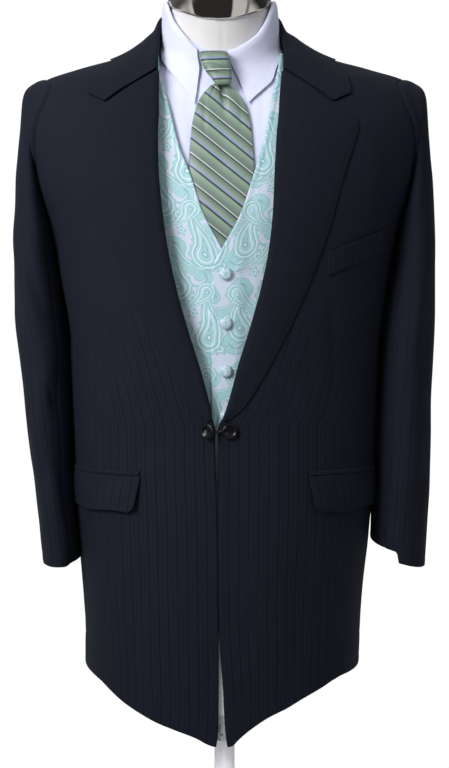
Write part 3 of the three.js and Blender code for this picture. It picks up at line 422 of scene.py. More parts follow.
def place():
    """The point on the object, in mm."""
    t = E.tree.nodes.new("ShaderNodeTexCoord")
    s = E.tree.nodes.new("ShaderNodeSeparateXYZ")
    E.tree.links.new(t.outputs["Object"], s.inputs[0])
    return E(s.outputs[0]) * 1000.0, E(s.outputs[1]) * 1000.0, E(s.outputs[2]) * 1000.0


def bump(height_mm, strength=1.0):
    n = E.tree.nodes.new("ShaderNodeBump")
    n.inputs["Distance"].default_value = 0.001
    n.inputs["Strength"].default_value = strength
    E.tree.links.new(height_mm.s, n.inputs["Height"])
    return E(n.outputs["Normal"])


def finish_material(bsdf, color=None, rough=None, normal=None, **fixed):
    if color is not None:
        plug(color, bsdf.inputs["Base Color"]) if isinstance(color, E) else setattr(bsdf.inputs["Base Color"], "default_value", (*color, 1.0))
    if rough is not None:
        plug(rough, bsdf.inputs["Roughness"])
    if normal is not None:
        plug(normal, bsdf.inputs["Normal"])
    for k, v in fixed.items():
        bsdf.inputs[k.replace("_", " ")].default_value = v


# ---------------------------------------------------------------- materials
COAT_BASE = (0.0080, 0.0098, 0.0172)
COAT_DARK = (0.0016, 0.0019, 0.0032)


def wool(name, stripe=1.0, base=COAT_BASE):
    m, b = new_material(name)
    u, v = uv_mm()
    streak = noise(combine(u * 0.9, v * 0.012), 1.0, 3.0, 0.6)              # long uneven threads
    slow = noise(combine(u * 0.03, v * 0.008), 1.0, 1.0)
    fleck = noise(combine(u * 2.2, v * 2.2), 1.0, 2.0, 0.7)
    near = absf(frac(u / 12.0) - 0.5) * 12.0                                   # mm from the strong stripe
    half = absf(frac(u / 12.0 + 0.5) - 0.5) * 12.0                             # mm from the weak stripe between
    strong = step_(near, 1.15, 0.35) * (0.45 + slow * 0.9)
    weak = step_(half, 0.9, 0.3) * slow * 0.75
    line = minf(maxf(strong, weak) * stripe, 1.0) * (0.30 + step_(v, 1190.0, 1060.0) * 0.70)
    twill = op("SINE", (u * 1.0 + v * 0.62) * 5.6)
    tone = mixc(streak * 1.0, tuple(c * 0.72 for c in base), tuple(c * 1.32 for c in base))
    tone = mixc(fleck * 0.55, tone, tuple(c * 1.5 for c in base))
    tone = mixc((twill * 0.5 + 0.5) * 0.16, tone, COAT_DARK)
    tone = mixc(line * 0.55, tone, COAT_DARK)
    height = twill * 0.035 + fleck * 0.05 - line * 0.14 + streak * 0.06
    finish_material(b, tone, 0.66 + fleck * 0.22 + line * 0.1, bump(height, 0.7), Specular_IOR_Level=0.09, Sheen_Weight=0.02, Sheen_Roughness=0.5)
    b.inputs["Sheen Tint"].default_value = (0.5, 0.55, 0.7, 1.0)
    return m


def teardrop(x, y, length, bend, power=0.75):
    """Below 0 inside a paisley leaf of head radius 1 at the origin, whose tail bends away to y = length."""
    up = maxf(y, 0.0)
    xb = x - up * up * bend
    taper = op("POWER", maxf(1.0 - up / length, 0.0), power)
    down = minf(y, 0.0)
    return sqrt(xb * xb + down * down) - taper


def local(u, v, cx, cy, size, turn, w, h, flip=1.0):
    """Coordinates about a motif's centre in a half-drop repeat of w by h mm, turned, in units of size."""
    column = op("FLOOR", (u - cx) / w + 0.5)
    x = (u - cx) - column * w
    y = (v - cy) - column * (h / 2)
    y = y - op("FLOOR", y / h + 0.5) * h
    c, s = math.cos(math.radians(turn)) / size, math.sin(math.radians(turn)) / size
    return (x * (c * flip) + y * (s * flip)), (y * c - x * s)


VEST_GROUND, VEST_MINT, VEST_TEAL, VEST_WHITE = srgb(203, 212, 232), srgb(162, 204, 209), srgb(132, 181, 187), srgb(217, 229, 242)


def paisley(name, tilt=0.0):
    m, b = new_material(name)
    u, v = uv_mm()
    w, h = 62.0, 84.0                                                     # the repeat before it is enlarged
    wob = noise(combine(u * 0.05, v * 0.05), 1.0, 1.0)
    u, v = u / 1.18 + (wob - 0.5) * 5.0, v / 1.18
    tone = None
    mint = None                                                           # how much of the coloured weft shows, for gloss and bump

    def paint(mask, colour, amount):
        nonlocal tone, mint
        base = VEST_GROUND if tone is None else tone
        tone = mixc(mask, base, colour)
        mint = (mask * amount) if mint is None else (mint * (1.0 - mask) + mask * amount)

    # curling stems
    for cx, cy, size, turn, flip, arms in ((8, 6, 15, 0, 1, 1.0), (38, 30, 13, 90, -1, 1.0), (20, 58, 14, 200, 1, 1.0), (52, 66, 12, 300, -1, 1.0), (50, 8, 10, 140, 1, 1.0)):
        x, y = local(u, v, cx, cy, size, turn, w, h, flip)
        r = sqrt(x * x + y * y)
        ang = op("ARCTAN2", y, x) / 6.2832
        k = frac(op("LOGARITHM", maxf(r, 0.02), 2.718) * 0.72 * arms - ang + 0.5) - 0.5
        width = absf(k) * r
        mask = step_(width, 0.19, 0.13) * step_(r, 1.06, 0.98)
        paint(mask, VEST_MINT, 0.8)
        paint(step_(absf(width - 0.15), 0.035, 0.012) * step_(r, 1.04, 0.97), VEST_TEAL, 1.0)
    # small flowers
    for cx, cy, size, turn in ((30, 8, 6.2, 10), (4, 34, 5.6, 40), (58, 40, 6.4, 25), (30, 76, 5.0, 0), (12, 80, 3.8, 30)):
        x, y = local(u, v, cx, cy, size, turn, w, h)
        r = sqrt(x * x + y * y)
        lobe = op("COSINE", op("ARCTAN2", y, x) * 5.0) * 0.24 + 0.76
        f = r - lobe
        paint(step_(f, 0.16, 0.06), VEST_TEAL, 1.0)
        paint(step_(f, 0.0, -0.1), VEST_MINT, 0.9)
        paint(step_(absf(r - 0.42), 0.12, 0.04), VEST_WHITE, 0.1)
        paint(step_(r, 0.22, 0.12), VEST_TEAL, 1.0)
    # paisley leaves
    for cx, cy, size, length, bend, turn, flip in (
            (16, 18, 9.6, 3.3, 0.17, 28, 1), (46, 50, 10.4, 3.4, 0.16, -24, -1), (44, 14, 6.6, 3.0, 0.20, 160, 1), (12, 54, 7.4, 3.1, 0.18, 205, -1), (30, 36, 4.2, 2.8, 0.22, 80, 1), (58, 76, 4.6, 2.8, 0.22, -80, -1)):
        x, y = local(u, v, cx, cy, size, turn, w, h, flip)
        f = teardrop(x, y, length, bend)
        fringe = op("COSINE", op("ARCTAN2", x - maxf(y, 0.0) * bend, y - 0.6) * 13.0) * 0.09
        paint(step_(f + fringe, 0.46, 0.40), VEST_MINT, 0.85)
        paint(step_(absf(f + fringe - 0.43), 0.06, 0.025), VEST_TEAL, 1.0)
        paint(step_(f, 0.24, 0.17), VEST_WHITE, 0.05)
        paint(step_(f, 0.10, 0.03), VEST_TEAL, 1.0)
        paint(step_(f, -0.04, -0.10), VEST_MINT, 0.8)
        if size > 5:
            paint(step_(absf(f + 0.34), 0.09, 0.04), VEST_WHITE, 0.05)
            seed = sqrt(x * x + (y - 0.15) * (y - 0.15))
            paint(step_(seed, 0.36, 0.28), VEST_TEAL, 1.0)
            paint(step_(seed, 0.20, 0.12), VEST_WHITE, 0.05)
            beads = op("COSINE", y * 8.0) * 0.5 + 0.5
            paint(step_(absf(f + 0.62), 0.10, 0.03) * beads * step_(y, 0.3, 0.5), VEST_TEAL, 1.0)
    rib = op("SINE", (u + v * 0.35) * 9.0)
    cross = op("SINE", v * 11.0)
    patch = noise(combine(u * 0.01, v * 0.012), 1.0, 1.0)
    tone = mixc((1.0 - mint) * patch * 0.22, tone, srgb(196, 222, 220))       # the ground is greener in places
    tone = mixc((rib * 0.5 + 0.5) * 0.08, tone, VEST_TEAL)
    height = mint * 0.10 + rib * 0.012 * (1.0 - mint) + cross * 0.02 * mint
    finish_material(b, tone, 0.34 + mint * 0.26, bump(height, 0.8), Specular_IOR_Level=0.5, Sheen_Weight=0.12, Sheen_Roughness=0.4)
    return m


def shirting(name, edge=False, tone=(0.72, 0.75, 0.94)):
    m, b = new_material(name)
    u, v = uv_mm()
    weave = op("SINE", u * 8.2) * op("SINE", v * 8.2)
    soft = noise(combine(u * 0.035, v * 0.02), 1.0, 2.0)
    colour = mixc(soft, tuple(c * 0.95 for c in tone), tuple(min(1, c * 1.03) for c in tone))
    colour = mixc((weave * 0.5 + 0.5) * 0.06, colour, tuple(c * 0.7 for c in tone))
    finish_material(b, colour, 0.72 + weave * 0.05, bump(weave * 0.02 + soft * 0.8, 0.6), Specular_IOR_Level=0.28, Sheen_Weight=0.08)
    return m


def tie_silk(name):
    m, b = new_material(name)
    u, v = uv_mm()
    d = (u * 0.62 + v * 0.785)
    t = frac(d / 26.0) * 26.0
    sage, grey, lavender, black, pale = srgb(134, 156, 136), srgb(98, 114, 110), srgb(142, 150, 196), srgb(22, 26, 30), srgb(196, 208, 200)
    fade = noise(combine(d * 0.06, (u - v) * 0.02), 1.0, 1.0)
    tone = mixc(step_(t, 0.0, 9.5), grey, sage)
    tone = mixc(step_(t, 9.8, 10.3), tone, black)
    tone = mixc(step_(t, 12.2, 12.6), tone, lavender)
    tone = mixc(step_(t, 14.2, 14.6), tone, sage)
    tone = mixc(step_(t, 14.8, 21.0), tone, grey)
    tone = mixc(step_(t, 21.4, 21.8), tone, black)
    tone = mixc(step_(t, 23.2, 23.6), tone, pale)
    tone = mixc(step_(t, 24.4, 24.8), tone, grey)
    tone = mixc(fade * 0.25, tone, sage)
    rib = op("SINE", (u * 0.785 - v * 0.62) * 7.0)
    edge = step_(t, 9.6, 10.2) * step_(t, 15.0, 14.2)
    finish_material(b, tone, 0.42 + rib * 0.05 - edge * 0.08, bump(rib * 0.03 + edge * 0.06, 0.8), Specular_IOR_Level=0.5, Sheen_Weight=0.2, Sheen_Roughness=0.35)
    return m


def form_cloth(name):
    m, b = new_material(name)
    x, y, z = place()
    weave = noise(combine(x * 1.6, z * 1.6, y * 1.6), 1.0, 2.0, 0.6)
    grain = noise(combine(x * 0.03, z * 0.03, y * 0.03), 1.0, 3.0)
    tone = mixc(grain, srgb(224, 221, 221), srgb(238, 236, 236))
    tone = mixc(weave * 0.25, tone, srgb(206, 202, 202))
    finish_material(b, tone, 0.8 + weave * 0.1, bump(weave * 0.12, 0.8), Specular_IOR_Level=0.2, Sheen_Weight=0.1)
    return m


def metal(name, tone, rough):
    m, b = new_material(name)
    x, y, z = place()
    scratch = noise(combine(x * 0.06, y * 0.06, z * 1.4), 1.0, 3.0)
    smear = noise(combine(x * 0.03, y * 0.03, z * 0.03), 1.0, 2.0)
    finish_material(b, mixc(smear * 0.4, tone, tuple(c * 0.8 for c in tone)), rough + scratch * 0.03 + smear * 0.03, bump(scratch * 0.004, 0.4), Metallic=1.0)
    return m


def painted(name, tone, rough=0.38):
    m, b = new_material(name)
    x, y, z = place()
    peel = noise(combine(x * 0.35, y * 0.35, z * 0.35), 1.0, 2.0)
    dust = noise(combine(x * 0.012, y * 0.012, z * 0.012), 1.0, 3.0)
    finish_material(b, mixc(dust * 0.5, tone, tuple(c * 0.86 for c in tone)), rough + dust * 0.18, bump(peel * 0.05, 0.5), Specular_IOR_Level=0.5)
    return m


def shiny_black(name):
    m, b = new_material(name)
    x, y, z = place()
    swirl = noise(combine(x * 0.25, y * 0.25, z * 0.25), 1.0, 3.0)
    finish_material(b, mixc(swirl, (0.002, 0.002, 0.003), (0.006, 0.006, 0.008)), 0.10 + swirl * 0.08, bump(swirl * 0.05, 0.4), Specular_IOR_Level=0.22)
    return m


def lining_satin(name):
    m, b = new_material(name)
    u, v = uv_mm()
    rib = op("SINE", u * 6.5)
    mottled = noise(combine(u * 0.22, v * 0.22), 1.0, 3.0, 0.7)
    low = step_(v, 34.0, 28.0)                                                 # a grey band, mottled below it
    spots = step_(mottled, 0.50, 0.60) * step_(v, 22.0, 18.0)
    tone = mixc(low * 0.75, srgb(232, 232, 238), srgb(150, 150, 156))
    tone = mixc(spots * 0.9, tone, srgb(46, 46, 52))
    finish_material(b, tone, 0.38 + rib * 0.05, bump(rib * 0.03, 0.6), Specular_IOR_Level=0.5)
    return m


def covered_button(name):
    """The waistcoat's cloth, pulled over a button."""
    m, b = new_material(name)
    u, v = uv_mm()
    rib = op("SINE", (u + v * 0.3) * 9.0)
    figure = noise(combine(u * 0.30, v * 0.30, 4.0), 1.0, 2.0, 0.6)
    tone = mixc(step_(figure, 0.44, 0.54), srgb(148, 186, 192), srgb(196, 212, 228))
    finish_material(b, tone, 0.40 + rib * 0.05, bump(rib * 0.03 + step_(figure, 0.44, 0.54) * 0.08, 0.7), Specular_IOR_Level=0.5)
    return m


def strand(name, tone):
    m, b = new_material(name)
    u, v = uv_mm()
    fibre = op("SINE", (u * 0.9 + v) * 9.0)
    finish_material(b, mixc(fibre * 0.5 + 0.5, tone, tuple(c * 0.65 for c in tone)), 0.6 + fibre * 0.1, bump(fibre * 0.04, 0.7), Specular_IOR_Level=0.3)
    return m


M_COAT = wool("coat_wool")
M_LAPEL = wool("coat_wool_facing", 0.35, tuple(c * 0.92 for c in COAT_BASE))
M_SLEEVE = wool("coat_wool_sleeve", 0.75)
M_VEST = paisley("waistcoat_jacquard")
M_VEST_BUTTON = covered_button("waistcoat_button")
M_SHIRT = shirting("shirt_poplin")
M_TIE = tie_silk("tie_repp")
M_FORM = form_cloth("form_jersey")
M_CHROME = metal("cap_chrome", (0.74, 0.70, 0.66), 0.03)
M_STEEL = metal("pole_steel", (0.62, 0.62, 0.63), 0.22)
M_PAINT = painted("base_paint", srgb(226, 226, 230))
M_BUTTON = shiny_black("button_black")
M_LINING = lining_satin("skirt_lining")
M_CORD_A, M_CORD_B = strand("cord_dark", srgb(44, 44, 50)), strand("cord_light", srgb(206, 206, 212))

# ---------------------------------------------------------------- the coat's body
FRONT_EDGE = [(600, 10), (616, 6.6), (640, 4.6), (675, 3.5), (728, 1.6), (776, 0.7), (860, 0.6), (915, 1.6), (945, 2.4), (975, 2.6), (992, 2.2),
              (1000, 4.4), (1006, 7.2), (1016, 11), (1028, 14.6), (1059, 22.8), (1102, 36), (1141, 48.5), (1206, 62), (1260, 69), (1312, 72), (1360, 74), (1400, 76), (1440, 77), (1470, 78), (1500, 74)]
front_edge = curve([r[0] for r in FRONT_EDGE], [r[1] for r in FRONT_EDGE])
# the opening leans towards the wearer's right: x of its middle by height
FRONT_SHIFT = [(616, -3.2), (675, -4.2), (728, -6.2), (776, -7.4), (900, -8.4), (992, CENTRE_FRONT), (1004, -8.6), (1020, -6.8), (1040, -6.6), (1090, -6.9), (1180, -7),
               (1240, -7.8), (1300, -9.2), (1342, -8.6), (1368, -6.8), (1392, -6.2), (1420, -5), (1450, -4.2), (1500, -4)]
front_shift = curve([r[0] for r in FRONT_SHIFT], [r[1] for r in FRONT_SHIFT])
ARM = dict(low=7.3, high=11.1, front=17, back=19)


def arm_width(arm, row, part):
    t = np.abs((row - (arm["low"] + arm["high"]) / 2) / ((arm["high"] - arm["low"]) / 2))
    return np.where(t >= 1, 0, arm[part] * (1 - np.minimum(t, 1) ** 2.2) ** (1 / 2.2))


def side_seam(row):
    return lerp(96, 90, smooth((row - 5) / 2.3))


def edge_angle(row, side):
    return on_line(COAT.at, row, lambda z: side * front_edge(z) + front_shift(z))


def seam_dip(d_mm, depth=1.1, width=2.2):
    """A seam line: the cloth turns in over the last millimetres."""
    return -depth * np.exp(-(d_mm / width) ** 2)


def ease(n, a, b, sharp=1.0):
    """Samples from a to b, closer together at both ends."""
    t = np.linspace(0, 1, n)
    c = (1 - np.cos(np.pi * t)) / 2
    return lerp(a, b, lerp(t, c, sharp))


ROWS_COAT = np.concatenate([np.linspace(0, 3, 66)[:-1], np.linspace(3, 7.3, 80)[:-1], ease(52, 7.3, 11.1)[:-1], np.linspace(11.1, 15.9, 38)])


def front_folds(side):
    """Creases of one front in world x and z."""
    rows = []
    def seg(x0, y0, x1, y1, width, depth):
        a, b = spot(x0, y0), spot(x1, y1)
        rows.append((*a, *b, width, depth))
    if side < 0:
        seg(113, 292, 127, 447, 1.5, 0.9)          # dart
        seg(112, 300, 128, 440, 9, 0.7)
        seg(58, 120, 66, 300, 13, 2.6)             # hollow before the armhole
        seg(51, 200, 53, 262, 5, 2.4)
        seg(55, 290, 66, 360, 5, 1.8)
        seg(50, 330, 44, 470, 12, 3.4)
        seg(92, 520, 84, 690, 22, 2.6)             # skirt
        seg(128, 540, 132, 700, 16, 1.9)
        seg(170, 560, 176, 716, 26, -1.8)
        seg(64, 540, 56, 650, 15, -1.6)
        seg(150, 400, 196, 436, 9, 0.8)            # drag towards the closure
        seg(140, 452, 196, 440, 10, 0.9)
        seg(84, 250, 112, 330, 20, -1.2)
    else:
        seg(331, 290, 322, 440, 1.5, 0.7)
        seg(332, 300, 322, 430, 9, 0.6)
        seg(388, 130, 380, 300, 13, 2.4)
        seg(396, 320, 402, 470, 12, 3.2)
        seg(352, 520, 362, 690, 22, 2.4)
        seg(312, 540, 306, 700, 15, 1.9)
        seg(268, 550, 262, 720, 24, -1.6)
        seg(380, 540, 386, 640, 15, -1.4)
        seg(292, 402, 246, 437, 9, 0.8)
        seg(300, 455, 246, 441, 11, 0.9)
        seg(330, 285, 330, 420, 3, 0.6)
    return rows


BACK_FOLDS = {   # x, z, x, z, width, depth on the wearer's right back and left back
    -1: [(-120, 1330, -150, 1215, 14, 2.4), (-60, 1090, -44, 930, 24, 1.6), (-126, 900, -138, 700, 22, 3.0), (-70, 880, -78, 700, 26, -2.2), (-28, 860, -24, 700, 12, 1.8), (-150, 1080, -100, 1010, 12, 1.3), (-148, 1200, -110, 1120, 12, 1.2)],
    1: [(124, 1326, 148, 1206, 13, 2.6), (66, 1080, 52, 926, 20, 1.4), (112, 890, 124, 700, 24, 2.7), (58, 870, 66, 700, 22, -2.0), (20, 850, 17, 700, 11, 1.6), (148, 1070, 104, 1004, 13, 1.5), (150, 1190, 116, 1116, 10, 1.1)],
}


def coat_panel(name, side, is_front, nu):
    rows = ROWS_COAT[:, None]
    gap = 0.16 / COAT.at(90, rows)[..., 0] * 57.3
    if is_front:
        a0 = edge_angle(rows, side)
        a1 = side * (side_seam(rows) - arm_width(ARM, rows, "front") - gap)
    else:
        a0 = side * (side_seam(rows) + arm_width(ARM, rows, "back") + gap)
        a1 = side * (180 - gap)
    u = np.linspace(0, 1, nu + 1)[None, :]
    angle, row = lerp(a0, a1, u), np.broadcast_to(rows, (len(rows), nu + 1))
    base = COAT.at(angle, row)
    across = lengths(base, 1) * 1000
    whole = across[:, -1:]
    x, z = base[..., 0], base[..., 2]
    d = np.zeros_like(x)
    hem = lengths(base, 0) * 1000
    low_cut = smooth(hem / 60)
    if is_front:
        d += crease(x, z, front_folds(side)) * (0.25 + 0.75 * low_cut)
        d += 0.55 * ripple(x, z, 11 + side, 90) * smooth(across / 40)
        d += 1.1 * np.exp(-((across - 3.4) / 3.2) ** 2) * smooth((1000 - z) / 30) * 0.45      # pressed front edge is a little fuller
        hole = (row > ARM["low"]) & (row < ARM["high"] + 0.05)
        d += seam_dip(whole - across, 1.0) * (row > 0.2) + np.where(hole, seam_dip(whole - across, 2.2, 4.2), 0)
    else:
        d += crease(x, z, BACK_FOLDS[side]) * (0.25 + 0.75 * low_cut)
        d += 0.7 * ripple(x, z, 21 + side, 95)
        d += seam_dip(across, 1.0) + seam_dip(whole - across, 1.2)
    d += 0.5 * np.exp(-((hem - 3) / 3) ** 2)                                                  # turned hem
    d += -0.35 * np.exp(-((hem - 38) / 2.2) ** 2) * smooth((hem - 20) / 10)                   # where the hem is caught inside
    normal = COAT.normal(angle, row)
    outer, inner = base + normal * (CLOTH + d)[..., None], base + normal * d[..., None]
    if is_front:
        U = (across + 6.0) * 0.001
    else:
        U = (across - whole - 6.0) * -0.001
    uv = np.stack([U, z * 0.001], -1)
    node = f"coat_{'front' if is_front else 'back'}_{'R' if side < 0 else 'L'}"
    return shell(name, outer, inner, uv, M_COAT, [node])


coat_fr = coat_panel("v_coat_front_R", -1, True, 66)
coat_fl = coat_panel("v_coat_front_L", 1, True, 66)
coat_br = coat_panel("v_coat_back_R", -1, False, 56)
coat_bl = coat_panel("v_coat_back_L", 1, False, 56)


def front_disp(side, x, z):
    """How far the front's cloth moves there, for what lies on it."""
    return crease(x, z, front_folds(side)) + 0.55 * ripple(x, z, 11 + side, 90)


def on_front(x, z, off):
    a, r = COAT.find(x, z, 3, COAT.top)
    return COAT.point(a, r, off)


# ---------------------------------------------------------------- lapels and collar
LAPEL_OUT = 3.6
LAPEL = table(("rollX", "rollZ", "edgeX", "edgeZ"), [
    (0, 6.8, 1004, 11.5, 1002.5), (0.08, 12, 1018, 25, 1014), (0.2, 25, 1066, 52, 1054), (0.33, 39.6, 1113, 79, 1104), (0.48, 53, 1162, 105, 1162),
    (0.64, 65, 1225, 130, 1228), (0.78, 71, 1290, 151, 1296), (0.88, 73.5, 1345, 168, 1353), (1, 76.5, 1419.5, 136, 1379.5)])


def make_lapel(side):
    a = np.concatenate([np.linspace(0, 0.84, 92)[:-1], np.linspace(0.84, 0.92, 16)[:-1], np.linspace(0.92, 1, 14)])[:, None]
    rx, rz, ex, ez = (LAPEL[k](a) for k in ("rollX", "rollZ", "edgeX", "edgeZ"))
    length = np.hypot(ex - rx, ez - rz)
    # the path across: from inside the front, round the roll, out to the free edge; mm from the roll line and mm off the coat
    roll = np.array([(5.5, -2.6), (1.6, -2.4), (-1.2, -1.4), (-2.7, 0.4), (-2.9, 2.0), (-1.9, 3.6), (0.4, 4.9), (3.2, 5.5)])
    s = np.linspace(0, 1, 30)[1:]
    fit = np.minimum(1.0, length / 14.0)
    d = np.concatenate([roll[:, 0][None, :] * fit, 3.2 * fit + s[None, :] ** 1.0 * (length - 3.2 * fit)], 1)
    o = np.concatenate([np.broadcast_to(roll[:, 1][None, :], (len(a), len(roll))), np.broadcast_to(5.5 + 0 * s[None, :], (len(a), len(s)))], 1)
    t = np.clip(d / length, 0, 1)
    o = o - np.where(d > 3, 1.3 * smooth(t * 1.3), 0) + np.where(d > 3, 2.4 * np.sin(np.pi * np.clip(t, 0, 1)) * smooth((a - 0.1) / 0.3), 0)
    o = o + np.where(d > length - 3.0, -0.35, 0)
    w = d / length
    x, z = lerp(rx, ex, w), lerp(rz, ez, w)
    shift = front_shift(z)
    top = o + 0.5 * ripple(x, z, 5 + side, 110) * smooth(t * 2)
    q = on_front(side * x + shift, z, 0.0)
    ang, row = COAT.find(side * x + shift, z, 3, COAT.top)
    n = COAT.normal(ang, row, 2.5, 0.2)
    outer = q + n * (top + 0.2)[..., None]
    # the underside is one wall below the upper side, square to the path
    du = np.gradient(outer, axis=1)
    dv = np.gradient(outer, axis=0)
    nn = np.cross(du, dv)
    nn /= np.maximum(np.linalg.norm(nn, axis=-1, keepdims=True), 1e-9)
    sign = np.sign(np.einsum("ijk,ijk->ij", nn[:, 20:], n[:, 20:]).mean())
    inner = outer - nn * sign * 1.5
    along = lengths(outer[:, -1:], 0)
    uv = np.stack([np.broadcast_to((length - d) * 0.001, d.shape), np.broadcast_to(along, d.shape)], -1)
    return shell("v_coat_lapel_" + ("R" if side < 0 else "L"), outer, inner, uv, M_LAPEL, ["coat_lapel_" + ("R" if side < 0 else "L")])


lapel_r, lapel_l = make_lapel(-1), make_lapel(1)


def at_front(side, x, z):
    a, r = COAT.find(np.array([side * x + float(front_shift(z))]), np.array([float(z)]), 3, COAT.top)
    return side * float(a[0]), float(r[0])


def collar_half(side, s, wc):
    """Angle and row of one half of the collar's fall, bent through the notch at its front end."""
    gorge, corner, notch = at_front(side, 77, 1424.5), at_front(side, 157, 1392), at_front(side, 136.5, 1382.5)
    c = table(("foldAngle", "foldRow", "fallAngle", "fallRow"), [
        (0, *gorge, *corner), (0.16, 66, 14.9, 77, 12.7), (0.32, 86, 16.6, 93, 13.1), (0.52, 112, 17, 118, 13.3), (0.76, 146, 17, 149, 13.2), (1, 180, 17, 180, 13.1)])
    fa, fr, ga, gr = (c[k](s) for k in ("foldAngle", "foldRow", "fallAngle", "fallRow"))
    k = np.clip(1 - s / 0.16, 0, 1) ** 1.5
    bend = 1 - np.abs(wc - 0.75) / np.where(wc < 0.75, 0.75, 0.25)
    angle = lerp(fa, ga, wc) + k * bend * (notch[0] - lerp(gorge[0], corner[0], 0.75))
    return angle, lerp(fr, gr, wc) + k * bend * (notch[1] - lerp(gorge[1], corner[1], 0.75))


def make_collar():
    half = np.linspace(0, 1, 76) ** 1.25
    s = np.concatenate([half, half[::-1][1:]])[None, :]
    side = np.concatenate([-np.ones(len(half)), np.ones(len(half) - 1)])[None, :]
    w = np.concatenate([[-0.10, -0.07, -0.035, 0.0, 0.035, 0.075], np.linspace(0.12, 1, 24)])[:, None]
    wc = np.clip(w, 0, 1)
    (ar, rr), (al, rl) = collar_half(-1, s, wc), collar_half(1, s, wc)
    angle, row = np.where(side < 0, ar, al), np.where(side < 0, rr, rl)
    o = 4.9 + TRIM - 0.9 * (1 - smooth(s / 0.14)) + 0 * w
    o = np.where(w < 0.12, np.interp(w, [-0.10, -0.07, -0.035, 0.0, 0.035, 0.075, 0.12], [1.0, 1.8, 3.2, 4.6, 5.6, 6.3, 6.7]) + 0 * s, o)
    o = o + 1.6 * np.sin(np.pi * wc) * smooth(s / 0.2) - 3.0 * smooth((wc - 0.6) / 0.4) * smooth(s / 0.12)
    # close to the shirt's collar beside the neck, a little fuller below
    o = o - np.where(side > 0, 4.6, 2.6) * smooth((s - 0.06) / 0.12) * (1 - smooth((s - 0.5) / 0.3)) * (1 - smooth(wc / 0.45))
    pts = COAT.at(angle, row) + COAT.normal(angle, row, 2.5, 0.2) * o[..., None]
    rise = np.interp(w, [-0.10, -0.07, -0.035, 0.0, 0.035, 0.075, 0.12, 1], [-1.5, 0.6, 1.9, 2.4, 2.2, 1.2, 0.3, 0]) * smooth(s / 0.3)
    pts[..., 2] += rise
    pts[..., 0] = np.where(side < 0, 2 * COAT.c["lean"](row) - pts[..., 0], pts[..., 0])
    nn = np.cross(np.gradient(pts, axis=1), np.gradient(pts, axis=0))
    nn /= np.maximum(np.linalg.norm(nn, axis=-1, keepdims=True), 1e-9)
    centre = np.array([0, 0, 1300.0])
    sign = np.sign(np.einsum("ijk,ijk->ij", nn, pts - centre)[12:].mean())
    inner = pts - nn * sign * 1.5
    U = np.broadcast_to(lengths(pts[:1], 1), (w.shape[0], s.shape[1]))
    uv = np.stack([lengths(pts, 0), U], -1)
    return shell("v_coat_collar", pts, inner, uv, M_LAPEL, ["coat_collar"])


coat_collar = make_collar()


def make_collar_stand():
    u, v = np.linspace(0, 1, 70)[None, :], np.linspace(0, 1, 8)[:, None]
    angle = lerp(-82, -278, u)
    top = lerp(16.5, 16.95, smooth(np.minimum(u, 1 - u) / 0.15))
    row = lerp(15.96, top, v)
    base, n = COAT.at(angle, row), COAT.normal(angle, row)
    uv = np.stack([lengths(base, 1), lengths(base, 0)], -1)
    return shell("v_coat_collar_stand", base + n * CLOTH, base, uv, M_COAT, ["coat_collar_stand"])


collar_stand = make_collar_stand()

# ---------------------------------------------------------------- pockets
TRIM_OUT = CLOTH + 1


def make_flap(side):
    u, v = np.linspace(0, 1, 46)[None, :], np.linspace(0, 1, 18)[:, None]
    frm, to = 37.5, 76
    angle = side * lerp(frm + 1.5 * (1 - v), to, u)
    corner = 1 - smooth(u / 0.07)
    z = lerp(892, 934, v) - 2 * u + 4.5 * (1 - smooth(u / 0.06)) * (1 - v) ** 4 + 1.1 * np.sin(u * 9 + side) * (1 - v)
    row = COAT.row_of_z(z, angle)
    base, n = COAT.at(angle, row), COAT.normal(angle, row)
    lift = TRIM_OUT + (1 - v) * ((1 - u) ** 2 * 5.2 + 1.3 + 0.9 * np.sin(u * 7 + 1.2 * side)) + 0.6 * np.sin(np.pi * v)
    lift = lift + front_disp(side, base[..., 0], base[..., 2])
    uv = np.stack([lengths(base, 1) + 0.31, base[..., 2] * 0.001], -1)
    name = "R" if side < 0 else "L"
    flap = shell("v_coat_flap_" + name, base + n * (lift + TRIM)[..., None], base + n * lift[..., None], uv, M_COAT, ["coat_flap_" + name])
    angle = side * lerp(frm + 0.5, to, u)
    v = np.linspace(0, 1, 9)[:, None]
    z = lerp(934.2, 941.0, v) - 2 * u
    row = COAT.row_of_z(z, angle)
    base, n = COAT.at(angle, row), COAT.normal(angle, row)
    lift = TRIM_OUT - 0.9 + front_disp(side, base[..., 0], base[..., 2])
    thick = 0.5 + 2.2 * np.sin(np.pi * np.clip(v, 0.02, 0.98)) ** 0.6 + 0 * u
    uv = np.stack([lengths(base, 1) + 0.31, base[..., 2] * 0.001], -1)
    welt = shell("v_coat_welt_" + name, base + n * (lift + thick)[..., None], base + n * lift[..., None], uv, M_LAPEL, ["coat_welt_" + name], lines=False)
    return flap, welt


flap_r, welt_r = make_flap(-1)
flap_l, welt_l = make_flap(1)


def make_breast_welt():
    u, v = np.linspace(0, 1, 40)[None, :], np.linspace(0, 1, 16)[:, None]
    x = lerp(122.5, 194, u) + 0 * v
    z = lerp(lerp(1176, 1203, v), lerp(1206, 1231, v), u)
    a, r = COAT.find(x, z, 3, COAT.top)
    base, n = COAT.at(a, r), COAT.normal(a, r)
    lift = 2.4 + 1.5 * v ** 2 * np.sin(np.pi * u) + front_disp(1, x, z)
    uv = np.stack([lengths(base, 1) + 0.02, lengths(base, 0)], -1)
    return shell("v_coat_breast_welt", base + n * (lift + TRIM)[..., None], base + n * lift[..., None], uv, M_COAT, ["coat_breast_welt"])


breast_welt = make_breast_welt()

